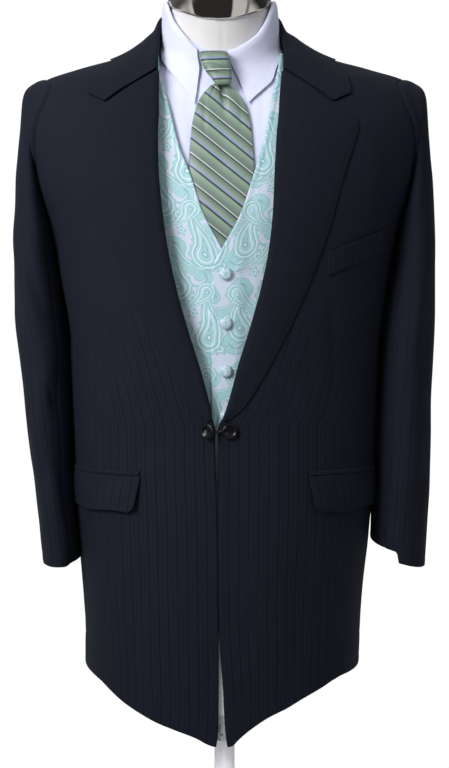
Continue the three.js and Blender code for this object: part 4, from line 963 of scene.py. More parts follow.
# ---------------------------------------------------------------- sleeves
# step, inner, outer, fore, aft, z, tip
SLEEVE_R = [(1, 213, 252, -66, 72, 1328, -66), (2, 208, 262, -72, 76, 1262, -46), (3, 206, 266, -74, 76, 1196, -14), (4, 202, 265.5, -74, 72, 1130, 0), (5, 194, 258, -75, 66, 1067, 0),
            (6, 191, 251, -77, 60, 1010, 0), (7, 190, 244, -79, 53, 950, 0), (8, 187, 237, -81, 47, 890, 0), (9, 182, 228, -84, 42, 816, 0)]
SLEEVE_L = [(1, 213, 252, -66, 72, 1328, -66), (2, 208, 261, -72, 76, 1262, -46), (3, 204, 266, -74, 76, 1196, -14), (4, 200, 265.5, -74, 72, 1130, 0), (5, 194, 263, -75, 66, 1067, 0),
            (6, 192, 260, -77, 60, 1010, 0), (7, 192, 259, -79, 53, 950, 0), (8, 192, 257, -81, 47, 893, 5), (9, 191, 252, -84, 42, 820, 9)]
zs = np.linspace(690, 1440, 376)
HALF = {s: np.max([s * COAT.at(s * a, COAT.row_of_z(zs, s * a))[:, 0] for a in (70, 80, 90, 100, 110)], 0) for s in (-1, 1)}


def body_half(side, z):
    return np.interp(z, zs, HALF[side])


def armhole(side, around, off, grow=0.0):
    """The seam line of the armhole, or with grow a ring that far inside the cloth round it."""
    t = np.radians(around)
    s, k, p = np.sin(t), np.cos(t), 2 / 2.2
    low, high = ARM["low"] + 0.075 - 0.12 * grow, ARM["high"] - 0.06 + 0.22 * grow
    row = (low + high) / 2 + ((high - low) / 2) * np.sign(k) * np.abs(k) ** p
    width = (np.where(s > 0, ARM["front"], ARM["back"]) - 0.12 + 1.6 * grow) * np.sign(s) * np.abs(s) ** p
    return COAT.point(side * (90 - width), row, off)


def sleeve_surface(side):
    c = table(("inner", "outer", "fore", "aft", "z", "tip"), SLEEVE_R if side < 0 else SLEEVE_L)

    def section(around, step):
        t = np.radians(around)
        s, k, n = np.sin(t), np.cos(t), 2.2
        low = c["z"](step) + c["tip"](step)
        inner = np.maximum(c["inner"](step) - 4.5 * smooth((step - 2) / 1.5), body_half(side, low) + 0.6 + 1.8 * np.exp(-((low - 922) / 42) ** 2))
        outer = c["outer"](step) - 2.2 * np.exp(-((step - 3) / 1.6) ** 2)
        cx, hx = (inner + outer) / 2, (outer - inner) / 2
        cy, hy = (c["fore"](step) + c["aft"](step)) / 2, (c["aft"](step) - c["fore"](step)) / 2
        r = (np.abs(s) ** n + np.abs(k) ** n) ** (-1 / n)
        a, b = k * r * hx, -s * r * hy
        return np.stack(np.broadcast_arrays(side * (cx + a), cy + b, c["z"](step) - c["tip"](step) * (k * r)), -1)

    def at(around, step):
        around, step = np.broadcast_arrays(np.asarray(around, float), np.asarray(step, float))
        main = section(around, np.maximum(step, 1))
        near, far = armhole(side, around, CLOTH * 0.5), section(around, np.ones_like(around))
        slope = (section(around, 1.5 + 0 * around) - far) * 2
        t = np.radians(around)
        k, f = np.cos(t), np.sin(t)
        out = np.stack([np.full_like(k, float(side)), -0.25 * f, np.where(k > 0, 0.35 * k, 0.8 * k)], -1)
        out = out / np.linalg.norm(out, axis=-1, keepdims=True) * np.where(k > 0, lerp(20, 15, k), lerp(20, 6, -k))[..., None]
        q = np.clip(step, 0, 1)[..., None]
        q2, q3 = q * q, q * q * q
        head = near * (2 * q3 - 3 * q2 + 1) + out * (q3 - 2 * q2 + q) + far * (-2 * q3 + 3 * q2) + slope * (q3 - q2)
        tuck = np.clip(-step / 0.05, 0, 1)[..., None]
        head = head + (armhole(side, around, -3.2, 1.0) - near) * tuck
        return np.where((step >= 1)[..., None], main, head)

    def normal(around, step, ea=3.0, er=0.08):
        a = at(around + ea, step) - at(around - ea, step)
        b = at(around, np.minimum(9, np.maximum(step, 0) + er)) - at(around, np.maximum(0, step - er))
        n = np.cross(a, b) * (1 if side > 0 else -1)
        return n / np.maximum(np.linalg.norm(n, axis=-1, keepdims=True), 1e-9)
    return at, normal


FRONT_SEAM, BACK_SEAM = 128, -118
# around in degrees, z, around, z, width in mm, depth
SLEEVE_FOLDS = {
    -1: [(112, 1075, 100, 930, 13, 4.0), (18, 1243, 92, 1096, 11, -3.2), (40, 1256, 118, 1130, 9, 2.6), (24, 1150, 84, 1030, 12, 2.4), (70, 1080, 136, 1004, 9, 2.6), (30, 1030, 80, 930, 12, -2.0), (96, 1010, 60, 908, 10, 2.4),
         (110, 960, 128, 860, 9, 1.8), (100, 1330, 150, 1240, 8, 2.6), (66, 1318, 88, 1220, 9, 1.4), (22, 940, 40, 850, 12, 1.6), (8, 1372, 20, 1300, 12, 1.1),
         (-30, 1240, -80, 1110, 12, 2.4), (-60, 1150, -118, 1030, 11, 2.8), (-30, 1040, -84, 950, 12, 2.0), (-100, 1260, -150, 1180, 10, 2.4), (-84, 960, -60, 860, 12, 1.6), (200, 1150, 240, 1050, 10, 2.2), (170, 1100, 210, 1000, 9, 2.0)],
    1: [(60, 1175, 66, 1040, 9, 2.6), (82, 1190, 80, 1064, 8, -1.8), (36, 1240, 60, 1110, 11, -2.4), (104, 1240, 92, 1110, 9, 2.4), (70, 1030, 40, 905, 11, 2.8), (100, 1010, 118, 930, 8, 2.2), (58, 930, 92, 850, 10, 2.4),
        (22, 1010, 30, 880, 12, -1.6), (100, 1330, 148, 1240, 8, 2.6), (62, 1322, 86, 1224, 9, 1.3), (96, 905, 112, 846, 8, 1.8), (8, 1372, 22, 1300, 12, 1.0),
        (-34, 1250, -86, 1120, 12, 2.6), (-56, 1160, -112, 1046, 11, 2.6), (-24, 1050, -80, 944, 12, 2.2), (-104, 1262, -150, 1176, 10, 2.2), (-90, 950, -64, 856, 12, 1.7), (200, 1140, 240, 1040, 10, 2.2), (172, 1090, 210, 990, 9, 1.8)],
}
STEPS = np.concatenate([[-0.05, -0.025, 0.0, 0.02], np.linspace(0.05, 1, 26)[:-1], np.linspace(1, 9, 128)])


def make_sleeve(side):
    at, normal = sleeve_surface(side)
    out = []
    for part, a0, a1, nu in (("upper", BACK_SEAM, FRONT_SEAM, 72), ("under", FRONT_SEAM, 360 + BACK_SEAM, 34)):
        step = STEPS[:, None]
        around = lerp(a0 + 0.12, a1 - 0.12, np.linspace(0, 1, nu + 1))[None, :] + 0 * step
        base = at(around, step)
        n = normal(around, step)
        across, along = lengths(base, 1) * 1000, lengths(base, 0) * 1000
        whole = across[:, -1:]
        wrapped = np.where(around > 180, around - 360, around)
        z = base[..., 2]
        d = crease(around * 0.62, z, [(a * 0.62, za, b * 0.62, zb, w, dd) for a, za, b, zb, w, dd in SLEEVE_FOLDS[side]])
        d += crease(wrapped * 0.62, z, [(a * 0.62, za, b * 0.62, zb, w, dd) for a, za, b, zb, w, dd in SLEEVE_FOLDS[side] if a < 0]) * (around > 180)
        d += 0.8 * ripple(wrapped * 0.75, z, 31 + side, 70)
        d *= smooth((along - 14) / 50)
        k = np.cos(np.radians(around))
        rope = smooth((k + 0.25) / 0.8)
        d += rope * 1.5 * np.exp(-((along - 7.5) / 6.0) ** 2)                   # the rounded sleeve head
        d -= 3.0 * smooth((k + 0.1) / 0.7) * np.exp(-((along - 26) / 11.0) ** 2)
        d += -4.6 * np.exp(-(along / 3.2) ** 2) * (0.45 + 0.55 * rope)
        d += seam_dip(across, 0.9) + seam_dip(whole - across, 0.9)
        end = along[-1:] - along
        d += 0.45 * np.exp(-((end - 3) / 3) ** 2)
        if side > 0:
            base[..., 2] += 13.0 * smooth((step - 8.1) / 0.9) * smooth((around - 97) / 5) * smooth((262 - around) / 30)
        else:
            base[..., 2] += 4.0 * smooth((step - 8.3) / 0.7) * smooth((around - 110) / 30)
        outer, inner = base + n * (d + CLOTH / 2)[..., None], base + n * (d - CLOTH / 2)[..., None]
        uv = np.stack([(across - whole * 0.5 + 3.0) * 0.001, z * 0.001], -1)
        name = f"coat_sleeve_{part}_{'R' if side < 0 else 'L'}"
        out.append(shell("v_" + name, outer, inner, uv, M_SLEEVE, [name]))
    return out


sleeve_r, sleeve_l = make_sleeve(-1), make_sleeve(1)

# ---------------------------------------------------------------- shirt
FORM_ARM = dict(low=6.95, high=10.35, front=19, back=21)
SHIRT_OFF = 1.6
ROWS_SHIRT = np.concatenate([np.linspace(1, 6.95, 40)[:-1], ease(26, 6.95, 10.35)[:-1], np.linspace(10.35, 14.1, 26)])


def make_shirt():
    rows = ROWS_SHIRT[:, None]
    gap = 0.16 / np.maximum(40, FORM.at(90, rows)[..., 0]) * 57.3
    out = []
    for side in (-1, 1):
        u = np.linspace(0, 1, 41)[None, :]
        angle = lerp(side * gap, side * (90 - arm_width(FORM_ARM, rows, "front") - gap), u)
        row = rows + 0 * u
        base, n = FORM.at(angle, row), FORM.normal(angle, row)
        x, z = base[..., 0], base[..., 2]
        d = crease(x, z, [(side * 52, 1420, side * 40, 1300, 5, 0.8), (side * 66, 1400, side * 50, 1310, 7, -0.9), (side * 36, 1390, side * 30, 1290, 4, 0.6), (side * 60, 1250, side * 30, 1180, 8, 0.8)]) + 0.3 * ripple(x, z, 41 + side, 50)
        across = lengths(base, 1) * 1000
        if side > 0:
            d += 0.9 * smooth((17 - across) / 1.2)                                        # front strip
            d += -0.4 * np.exp(-((across - 13) / 0.8) ** 2)
        uv = np.stack([across * 0.001, z * 0.001], -1)
        name = "shirt_front_" + ("R" if side < 0 else "L")
        out.append(shell("v_" + name, base + n * (SHIRT_OFF + SHIRT_CLOTH + d)[..., None], base + n * (SHIRT_OFF + d)[..., None], uv, M_SHIRT, [name]))
    u = np.linspace(0, 1, 71)[None, :]
    angle = lerp(90 + arm_width(FORM_ARM, rows, "back") + gap, 270 - arm_width(FORM_ARM, rows, "back") - gap, u)
    row = rows + 0 * u
    base, n = FORM.at(angle, row), FORM.normal(angle, row)
    d = 0.3 * ripple(base[..., 0], base[..., 2], 44, 60)
    uv = np.stack([lengths(base, 1), base[..., 2] * 0.001], -1)
    out.append(shell("v_shirt_back", base + n * (SHIRT_OFF + SHIRT_CLOTH + d)[..., None], base + n * (SHIRT_OFF + d)[..., None], uv, M_SHIRT, ["shirt_back"]))
    return out


shirt_parts = make_shirt()
stand_top = curve([0, 20, 35, 47, 60, 75, 90, 105, 140, 180], [14.38, 14.4, 14.64, 14.98, 15.38, 15.78, 15.93, 15.93, 15.7, 15.6])


def make_shirt_stand():
    u, v = np.linspace(0, 1, 121)[None, :], np.linspace(0, 1, 10)[:, None]
    angle = lerp(0.3, 359.7, u) + 0 * v
    a = np.minimum(angle, 360 - angle)
    row = lerp(14.16, stand_top(a) - 0.02, v)
    base, n = FORM.at(angle, row), FORM.normal(angle, row)
    uv = np.stack([lengths(base, 1), lengths(base, 0)], -1)
    return shell("v_shirt_collar_stand", base + n * 3.2, base + n * 2.0, uv, M_SHIRT, ["shirt_collar_stand"])


shirt_stand = make_shirt_stand()


def form_at(x, z):
    a, r = FORM.find(np.array([float(x)]), np.array([float(z)]), 3, 16)
    return float(a[0]), float(r[0])


ENDS = {-1: (form_at(-31, 1450), form_at(-36, 1379)), 1: (form_at(4, 1448), form_at(29, 1381))}


def make_leaf():
    half = np.concatenate([np.linspace(0, 0.3, 46)[:-1], np.linspace(0.3, 1, 60)])
    s = np.concatenate([half, half[::-1][1:]])
    side = np.concatenate([-np.ones(len(half)), np.ones(len(half) - 1)])
    fa, fr, ga, gr = (np.zeros_like(s) for _ in range(4))
    for e in (-1, 1):
        fold, point = ENDS[e]
        c = table(("fa", "fr", "ga", "gr"), [
            (0, e * fold[0], fold[1], e * point[0], point[1]), (0.1, 40 if e < 0 else 18, stand_top(40 if e < 0 else 18), 41.5 if e < 0 else 40, 11.15 if e < 0 else 10.85),
            (0.22, 57 if e < 0 else 44, stand_top(57 if e < 0 else 44), 58 if e < 0 else 57, 12.5 if e < 0 else 12.55), (0.36, 78, stand_top(78), 78, 13.6), (0.6, 115, stand_top(115), 115, 14.1), (1, 180, stand_top(180), 180, 14.1)])
        m = side == e
        fa[m], fr[m], ga[m], gr[m] = c["fa"](s[m]), c["fr"](s[m]), c["ga"](s[m]), c["gr"](s[m])
    s, side, fa, fr, ga, gr = (x[None, :] for x in (s, side, fa, fr, ga, gr))
    v = np.concatenate([[-0.10, -0.075, -0.04, 0.0, 0.04, 0.08], np.linspace(0.12, 1, 34)])[:, None]
    vc = np.clip(v, 0, 1)
    angle, row = lerp(fa, ga, vc), lerp(fr, gr, vc)
    rise = lerp(7.6, 5.2, smooth(vc * 1.2)) + 1.8 * smooth(vc * 2) * smooth((s - 0.1) / 0.2)
    rise = rise + 1.4
    rise = np.where(v < 0.12, np.interp(v, [-0.10, -0.075, -0.04, 0.0, 0.04, 0.08, 0.12], [3.6, 4.0, 5.0, 6.6, 8.0, 8.8, 9.1]) + 0 * s, rise)
    base, n = FORM.at(angle, row), FORM.normal(angle, row, 2.5, 0.15)
    pts = base + n * rise[..., None]
    pts[..., 2] += np.interp(v, [-0.10, -0.075, -0.04, 0.0, 0.04, 0.08, 0.12, 1], [-2.0, 0.0, 1.4, 2.0, 1.7, 0.8, 0, 0])
    pts[..., 2] += 5.0 * smooth((s - 0.2) / 0.12) * (1 - smooth(vc / 0.6))                      # springs up beside the neck
    # stitching near the free edge
    edge = (1 - vc) * np.linalg.norm(pts[-1:] - pts[6:7], axis=-1)
    pts = pts - n * (0.28 * np.exp(-((edge - 5.5) / 0.8) ** 2))[..., None] + n * (0.9 * np.sin(np.pi * vc) * smooth(s / 0.1))[..., None]
    pts[..., 0] = np.where(side < 0, 2 * FORM.c["lean"](row) - pts[..., 0], pts[..., 0])
    nn = np.cross(np.gradient(pts, axis=1), np.gradient(pts, axis=0))
    nn /= np.maximum(np.linalg.norm(nn, axis=-1, keepdims=True), 1e-9)
    sign = np.sign(np.einsum("ijk,ijk->ij", nn, pts - np.array([0, 0, 1380.0]))[12:].mean())
    uv = np.stack([np.broadcast_to(lengths(pts[20:21], 1), vc.shape[:1] + s.shape[1:]), lengths(pts, 0)], -1)
    return shell("v_shirt_collar_leaf", pts, pts - nn * sign * 1.2, uv, M_SHIRT, ["shirt_collar_leaf"])


shirt_leaf = make_leaf()

# ---------------------------------------------------------------- necktie


def make_band():
    u, v = np.linspace(0, 1, 110)[None, :], np.linspace(0, 1, 8)[:, None]
    a = lerp(24, 318, u) + 0 * v
    near = np.minimum(u, 1 - u)
    row = lerp(14.3, 14.62, v) + 0.3 * smooth(near / 0.2) - lerp(0.1, 0.42, v) * (1 - smooth(near / 0.1))
    base, n = FORM.at(a, row), FORM.normal(a, row)
    uv = np.stack([lengths(base, 1), lengths(base, 0)], -1)
    return shell("v_tie_band", base + n * 6.4, base + n * 5, uv, M_TIE, ["tie_band"])


tie_band = make_band()


def make_knot():
    # z, x, half, far, near
    k = table(("x", "half", "far", "near"), [(0, -1.5, 10.0, -82, -95.5), (0.12, -2.6, 11.6, -78, -97), (0.4, -7.6, 16.2, -72, -94.5), (0.72, -12, 17.6, -67, -90), (0.92, -13.6, 17.6, -65.5, -85.5), (1, -13.8, 16.4, -65.5, -80)])
    zs_ = curve([0, 0.12, 0.4, 0.72, 0.92, 1], [1405, 1410, 1423, 1436, 1444, 1447])
    rings = []
    n = 96
    ang = np.linspace(0, 2 * np.pi, n, endpoint=False)
    for t in np.linspace(0, 1, 54):
        c, s = np.cos(ang), np.sin(ang)
        r = (np.abs(c) ** 2.7 + np.abs(s) ** 2.7) ** (-1 / 2.7)
        end = 1 - 0.12 * np.exp(-((1 - t) / 0.04) ** 2) - 0.1 * np.exp(-(t / 0.05) ** 2)
        x = k["x"](t) + k["half"](t) * r * c * end
        y = (k["far"](t) + k["near"](t)) / 2 + ((k["far"](t) - k["near"](t)) / 2) * r * s * end
        z = float(zs_(t)) + 0 * x
        # wrapped folds: soft slanting ridges, deeper on one side
        front = np.clip(-s, 0, 1)
        q = z + 0.30 * (x - k["x"](t)) + 0.018 * (x - k["x"](t)) ** 2
        y = y + front * (1.5 * np.exp(-((q - 1437) / 1.5) ** 2) + 1.7 * np.exp(-((q - 1428.5) / 1.6) ** 2) + 1.4 * np.exp(-((q - 1418) / 1.5) ** 2) + 0.9 * np.exp(-((q - 1443.5) / 1.2) ** 2))
        rings.append(np.stack([x, y, z], 1))
    rings = np.array(rings)
    ob = tube_mesh("v_tie_knot", rings, M_TIE, ["tie_knot"])
    # the pattern on the knot runs across it
    me = ob.data
    co = np.empty(len(me.vertices) * 3, np.float32)
    me.vertices.foreach_get("co", co)
    co = co.reshape(-1, 3)
    uvs = np.stack([co[:, 2] * 1.1 + co[:, 0] * 0.25 + 0.004, co[:, 2] * 0.5 - 0.25 * co[:, 0]], 1)
    vi = np.empty(len(me.loops), np.int32)
    me.loops.foreach_get("vertex_index", vi)
    me.uv_layers["cloth"].data.foreach_set("uv", uvs[vi].astype(np.float32).ravel())
    return ob


tie_knot = make_knot()
BLADE = table(("x", "half"), [(0, -5, 10.5), (4.5, -5, 15), (12.5, -4.6, 22), (28.5, -4, 30), (55.5, -3.6, 35.5), (100.5, -3.4, 38), (160.5, -3.2, 38.5), (240.5, -3, 39), (320.5, -3, 39.5), (360.5, -3, 40), (398.5, -3, 3)])


def make_blade():
    down = np.concatenate([np.linspace(0, 60, 34)[:-1], np.linspace(60, 360.5, 92)[:-1], np.linspace(360.5, 398.5, 14)])[:, None]
    u = np.concatenate([[0, 0.012, 0.03], np.linspace(0.06, 0.94, 36), [0.97, 0.988, 1]])[None, :]
    half = np.where(down <= 360.5, BLADE["half"](down), lerp(40, 3, (down - 360.5) / 38))
    x = BLADE["x"](down) + half * (2 * u - 1)
    z = 1400.5 - down + 0 * u
    a, r = FORM.find(x, z, 2, 15)
    base, n = FORM.at(a, r), FORM.normal(a, r, 3.0, 0.2)
    top = smooth((z - 1340) / 60)
    w = 2 * u - 1
    off = 4.6 + 3.6 * top + 2.4
    crown = 1.5 * (1 - w ** 4)                                                   # padded, with rolled edges
    pinch = smooth((60 - down) / 60)
    d = crown - pinch * (5.6 * np.exp(-((w - 0.13) / 0.13) ** 2) * np.exp(-(down / 34.0) ** 2) + 1.6 * np.exp(-((w + 0.5) / 0.12) ** 2) * np.exp(-(down / 26.0) ** 2) - 1.1 * np.exp(-((np.abs(w) - 0.55) / 0.25) ** 2))
    d += crease(x, z, [(-20, 1392, -24, 1340, 3.0, 0.9), (14, 1390, 22, 1344, 3.0, 0.8), (-2, 1350, -6, 1290, 7, 0.5)])
    outer = base + n * (off + d)[..., None]
    inner = base + n * (4.6 + 3.6 * top + 0 * u)[..., None]
    uv = np.stack([x * 0.001, z * 0.001], -1)
    return shell("v_tie_blade", outer, inner, uv, M_TIE, ["tie_blade"])


tie_blade = make_blade()

# ---------------------------------------------------------------- waistcoat
VEST_V = {-1: curve([1100, 1178, 1192, 1207, 1250, 1298, 1330, 1383, 1412, 1432, 1450], [10, 10, 5, -3, -26, -42, -55, -68.6, -77, -81, -82]),
          1: curve([1100, 1178, 1192, 1207, 1250, 1298, 1330, 1383, 1412, 1432, 1450], [-15, -15, -11, -3, 20, 36, 46, 57, 62.5, 67, 70])}
VEST_EDGE = {-1: curve([900, 915, 933, 948, 965], [-40, -26, -6, 8, 10]), 1: curve([900, 915, 933, 948, 965], [16, 4, -9, -15, -15])}
vest_hem = curve([0, 12, 40, 80, 130, 180], [903, 900, 922, 940, 930, 922])
VEST_OFF = 8.4
VEST_ARM = dict(low=6.5, high=10.55, front=27, back=25)


def vest_edge(side, z):
    return np.where(z > 1100, VEST_V[side](z), VEST_EDGE[side](z))


def vest_row(angle, q):
    a = np.abs(((angle + 540) % 360) - 180)
    return np.where(q < 3, lerp(FORM.row_of_z(vest_hem(a), angle), 3, q / 3), q)


def vest_at(angle, q, rise=0.0):
    row = vest_row(angle, q)
    off = VEST_OFF + 8 * np.exp(-((row - 3) / 1.7) ** 2) * np.maximum(0, np.cos(np.radians(angle))) ** 2 + 1.8 * smooth((row - 11.2) / 1.6) + rise
    return FORM.at(angle, row) + FORM.normal(angle, row) * off[..., None]


def lap(angle):
    return 3.1 * (1 - smooth((angle - 6) / 9))


BUTTON_Z = (1178, 1120, 1062, 1008, 955)
VROWS = np.concatenate([np.linspace(0, 3, 30)[:-1], np.linspace(3, 6.5, 86)[:-1], ease(56, 6.5, 10.55, 0.7)[:-1], np.linspace(10.55, 13.3, 30)])
VROWS_BACK = np.concatenate([VROWS, np.linspace(13.4, 14.4, 11)])


def make_vest():
    out = []
    q = VROWS[:, None]
    gap = 0.16 / np.maximum(40, FORM.at(90, q)[..., 0]) * 57.3
    for side in (-1, 1):
        start = side * np.minimum(82, side * on_line(lambda a, r: vest_at(a, r, 1.0), q, lambda z: vest_edge(side, z), 26))
        end = side * (90 - arm_width(VEST_ARM, q, "front") - gap)
        u = np.concatenate([[0, 0.006, 0.014], np.linspace(0.03, 1, 76)])[None, :]
        angle = lerp(start, end, u)
        qq = q + 0 * u
        base = vest_at(angle, qq, lap(angle) if side > 0 else 0 * angle)
        x, z = base[..., 0], base[..., 2]
        across = lengths(base, 1) * 1000
        d = 0.35 * ripple(x, z, 51 + side, 45)
        for i, bz in enumerate(BUTTON_Z[:-1]):
            mid = (bz + BUTTON_Z[i + 1]) / 2
            # the edge gapes a little between buttons, and puckers run out from each
            d += (0.9 if side > 0 else -0.2) * np.exp(-((z - mid) / 17) ** 2) * np.exp(-(np.maximum(0, across) / 16) ** 2)
        rows = []
        for i, bz in enumerate(BUTTON_Z):
            for k, (dx, dz) in enumerate(((34, 6), (30, -12), (24, 18), (36, -2))):
                flip = 1 if side > 0 else -1
                rows.append((1.5 + flip * 8, bz, 1.5 + flip * (dx + 5 * math.sin(i * 2 + k)), bz + dz + 4 * math.cos(i + 2 * k), 3.2, 0.55 if k % 2 else -0.5))
        rows += [(side * 40, 1160, side * 18, 1120, 7, 0.9), (side * 44, 1090, side * 16, 1066, 7, 0.8), (side * 60, 1260, side * 40, 1190, 9, 0.8)]
        d += crease(x, z, rows)
        d += 0.5 * np.exp(-((across - 2.0) / 2.0) ** 2) - 0.35 * np.exp(-((across - 6.5) / 1.1) ** 2)       # turned, stitched edge
        n = FORM.normal(angle, vest_row(angle, qq))
        outer, inner = base + n * (VEST_CLOTH + d)[..., None], base + n * d[..., None]
        uv = np.stack([x * 0.001 * 1.0 + side * 0.004, z * 0.001], -1)
        uv[..., 0] = (side * across + np.where(side > 0, -15, 10)) * 0.001 * 0.5 + 0.5 * x * 0.001
        name = "vest_front_" + ("R" if side < 0 else "L")
        out.append(shell("v_" + name, outer, inner, uv, M_VEST, [name]))
    u = np.linspace(0, 1, 85)[None, :]
    q = VROWS_BACK[:, None]
    gap = 0.16 / np.maximum(40, FORM.at(90, q)[..., 0]) * 57.3
    frm = 90 + arm_width(VEST_ARM, q, "back") + gap
    angle = lerp(frm, 360 - frm, u)
    qq = q + 0 * u
    base = vest_at(angle, qq, 0 * angle)
    d = 0.5 * ripple(base[..., 0], base[..., 2], 57, 60)
    n = FORM.normal(angle, vest_row(angle, qq))
    uv = np.stack([lengths(base, 1), base[..., 2] * 0.001], -1)
    out.append(shell("v_vest_back", base + n * (VEST_CLOTH + d)[..., None], base + n * d[..., None], uv, M_VEST, ["vest_back"]))
    return out


vest_parts = make_vest()


def lathe(name, profile, centre, axis, mat, nodes, n=48, wobble=None):
    """A turned solid: profile of (radius, height) pairs from the axis to the axis, in mm."""
    axis = np.array(axis, float)
    axis /= np.linalg.norm(axis)
    side = np.cross(axis, [0, 0, 1.0])
    side = side / np.linalg.norm(side) if np.linalg.norm(side) > 1e-3 else np.array([1.0, 0, 0])
    up = np.cross(side, axis)
    t = np.linspace(0, 2 * np.pi, n, endpoint=False)
    rings = []
    for r, h in profile:
        hh = h + (wobble(r, t) if wobble else 0)
        rings.append(np.array(centre)[None] + r * (np.cos(t)[:, None] * side + np.sin(t)[:, None] * up) + np.broadcast_to(hh, t.shape)[:, None] * axis)
    ob = tube_mesh(name, rings, mat, nodes)
    me = ob.data
    co = np.empty(len(me.vertices) * 3, np.float32)
    me.vertices.foreach_get("co", co)
    rel = co.reshape(-1, 3) - np.array(centre) * 0.001
    uvs = np.stack([rel @ side + centre[0] * 0.001, rel @ up + centre[2] * 0.001], 1)
    vi = np.empty(len(me.loops), np.int32)
    me.loops.foreach_get("vertex_index", vi)
    me.uv_layers["cloth"].data.foreach_set("uv", uvs[vi].astype(np.float32).ravel())
    return ob


vest_buttons = []
for i, bz in enumerate(BUTTON_Z):
    lo, hi = (Vector(c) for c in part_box(f"vest_button_{i + 1}"))
    c = (lo + hi) * 500.0
    back = hi.y * 1000 - 0.1
    dome = [(0.01, 0.0), (5.2, 0.0), (6.9, 0.9), (7.5, 1.9), (7.2, 3.0), (6.2, 3.9), (4.6, 4.5), (2.4, 4.85), (0.01, 4.95)]
    vest_buttons.append(lathe(f"v_vest_button_{i + 1}", dome, (c.x, back, c.z), (0, -1, 0.04), M_VEST_BUTTON, [f"vest_button_{i + 1}"],
                              wobble=lambda r, t: 0.12 * np.cos(11 * t) * (r > 4.8)))

# ---------------------------------------------------------------- closure of the coat


def rim_profile(r, t):
    return [(0.01, 0), (r * 0.8, 0), (r * 0.97, t * 0.2), (r, t * 0.45), (r * 0.97, t * 0.72), (r * 0.86, t * 0.95), (r * 0.76, t), (r * 0.66, t * 0.9), (r * 0.55, t * 0.74), (r * 0.3, t * 0.68), (0.01, t * 0.66)]


def centre_of(node):
    lo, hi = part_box(node)
    return np.array([(a + b) * 500 for a, b in zip(lo, hi)])


cr, cl = centre_of("coat_button_R"), centre_of("coat_button_L")
ax_r, ax_l = np.array([-0.55, -1, 0.12]), np.array([0.05, -1, 0.1])
ax_r, ax_l = ax_r / np.linalg.norm(ax_r), ax_l / np.linalg.norm(ax_l)
button_r = lathe("v_coat_button_R", rim_profile(9.2, 4.0), cr - ax_r * 2, ax_r, M_BUTTON, ["coat_button_R"])
button_l = lathe("v_coat_button_L", rim_profile(9.6, 4.0), cl - ax_l * 2, ax_l, M_BUTTON, ["coat_button_L"])


def path_tube(name, pts, radius, mat, nodes, n=12, flat=1.0):
    pts = np.asarray(pts, float)
    tangent = np.gradient(pts, axis=0)
    tangent /= np.linalg.norm(tangent, axis=1, keepdims=True)
    ref = np.array([0.0, -1.0, 0.0])
    a = np.cross(tangent, ref)
    a /= np.linalg.norm(a, axis=1, keepdims=True)
    b = np.cross(a, tangent)
    t = np.linspace(0, 2 * np.pi, n, endpoint=False)
    r = np.broadcast_to(radius, (len(pts),))
    rings = pts[:, None] + r[:, None, None] * (np.cos(t)[None, :, None] * a[:, None] + flat * np.sin(t)[None, :, None] * b[:, None])
    return tube_mesh(name, rings, mat, nodes)


lo, hi = (np.array(c) * 1000 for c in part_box("coat_link"))
t = np.linspace(0, 1, 30)
y0 = (lo[1] + hi[1]) / 2
link_pts = np.stack([lerp(lo[0] - 1.5, hi[0] + 1.5, t), y0 - 1.0 + 1.2 * np.sin(np.pi * t), (lo[2] + hi[2]) / 2 - 2.2 * np.sin(np.pi * t)], 1)
coat_link = path_tube("v_coat_link", link_pts, 1.7, M_BUTTON, ["coat_link"])

# ---------------------------------------------------------------- lining and cord at the skirt


def make_lining():
    v, u = np.linspace(0, 1, 60)[:, None], np.linspace(0, 1, 50)[None, :]
    row = lerp(0.05, 1.5, v) + 0 * u
    frm = COAT.angle_of_x(np.full(v.shape, -13.0), lerp(0.05, 1.5, v))
    angle = lerp(frm, 27, u)
    base, n = COAT.at(angle, row), COAT.normal(angle, row)
    d = crease(base[..., 0], base[..., 2], [(-6, 690, -4, 620, 4, 0.8), (4, 700, 7, 630, 4, -0.7), (20, 690, 24, 640, 6, 0.9)])
    uv = np.stack([lengths(base, 1), lengths(base, 0)], -1)
    return shell("v_coat_lining_L", base + n * (-3.2 + d)[..., None], base + n * (-4.4 + d)[..., None], uv, M_LINING, ["coat_lining_L"])


coat_lining = make_lining()
row = np.linspace(0.02, 0.62, 260)
e = edge_angle(row, 1)
line = COAT.point(e + 0.15, row, np.full_like(row, -1.55))
out_n = COAT.normal(e, row)
side_v = np.array([[1.0, 0, 0]])
down = np.concatenate([[0], np.cumsum(np.linalg.norm(np.diff(line, axis=0), axis=1))])
for k, mat in enumerate((M_CORD_A, M_CORD_B)):
    ph = down / 7.0 * 2 * np.pi + k * np.pi
    pts = line + side_v * (0.75 * np.cos(ph))[:, None] + out_n * (0.75 * np.sin(ph))[:, None]
    c = path_tube("v_coat_cord_" + "ab"[k], pts, 0.85, mat, ["coat_cord_L"], n=8)
    if k == 0:
        cord_a = c
    else:
        cord_b = c

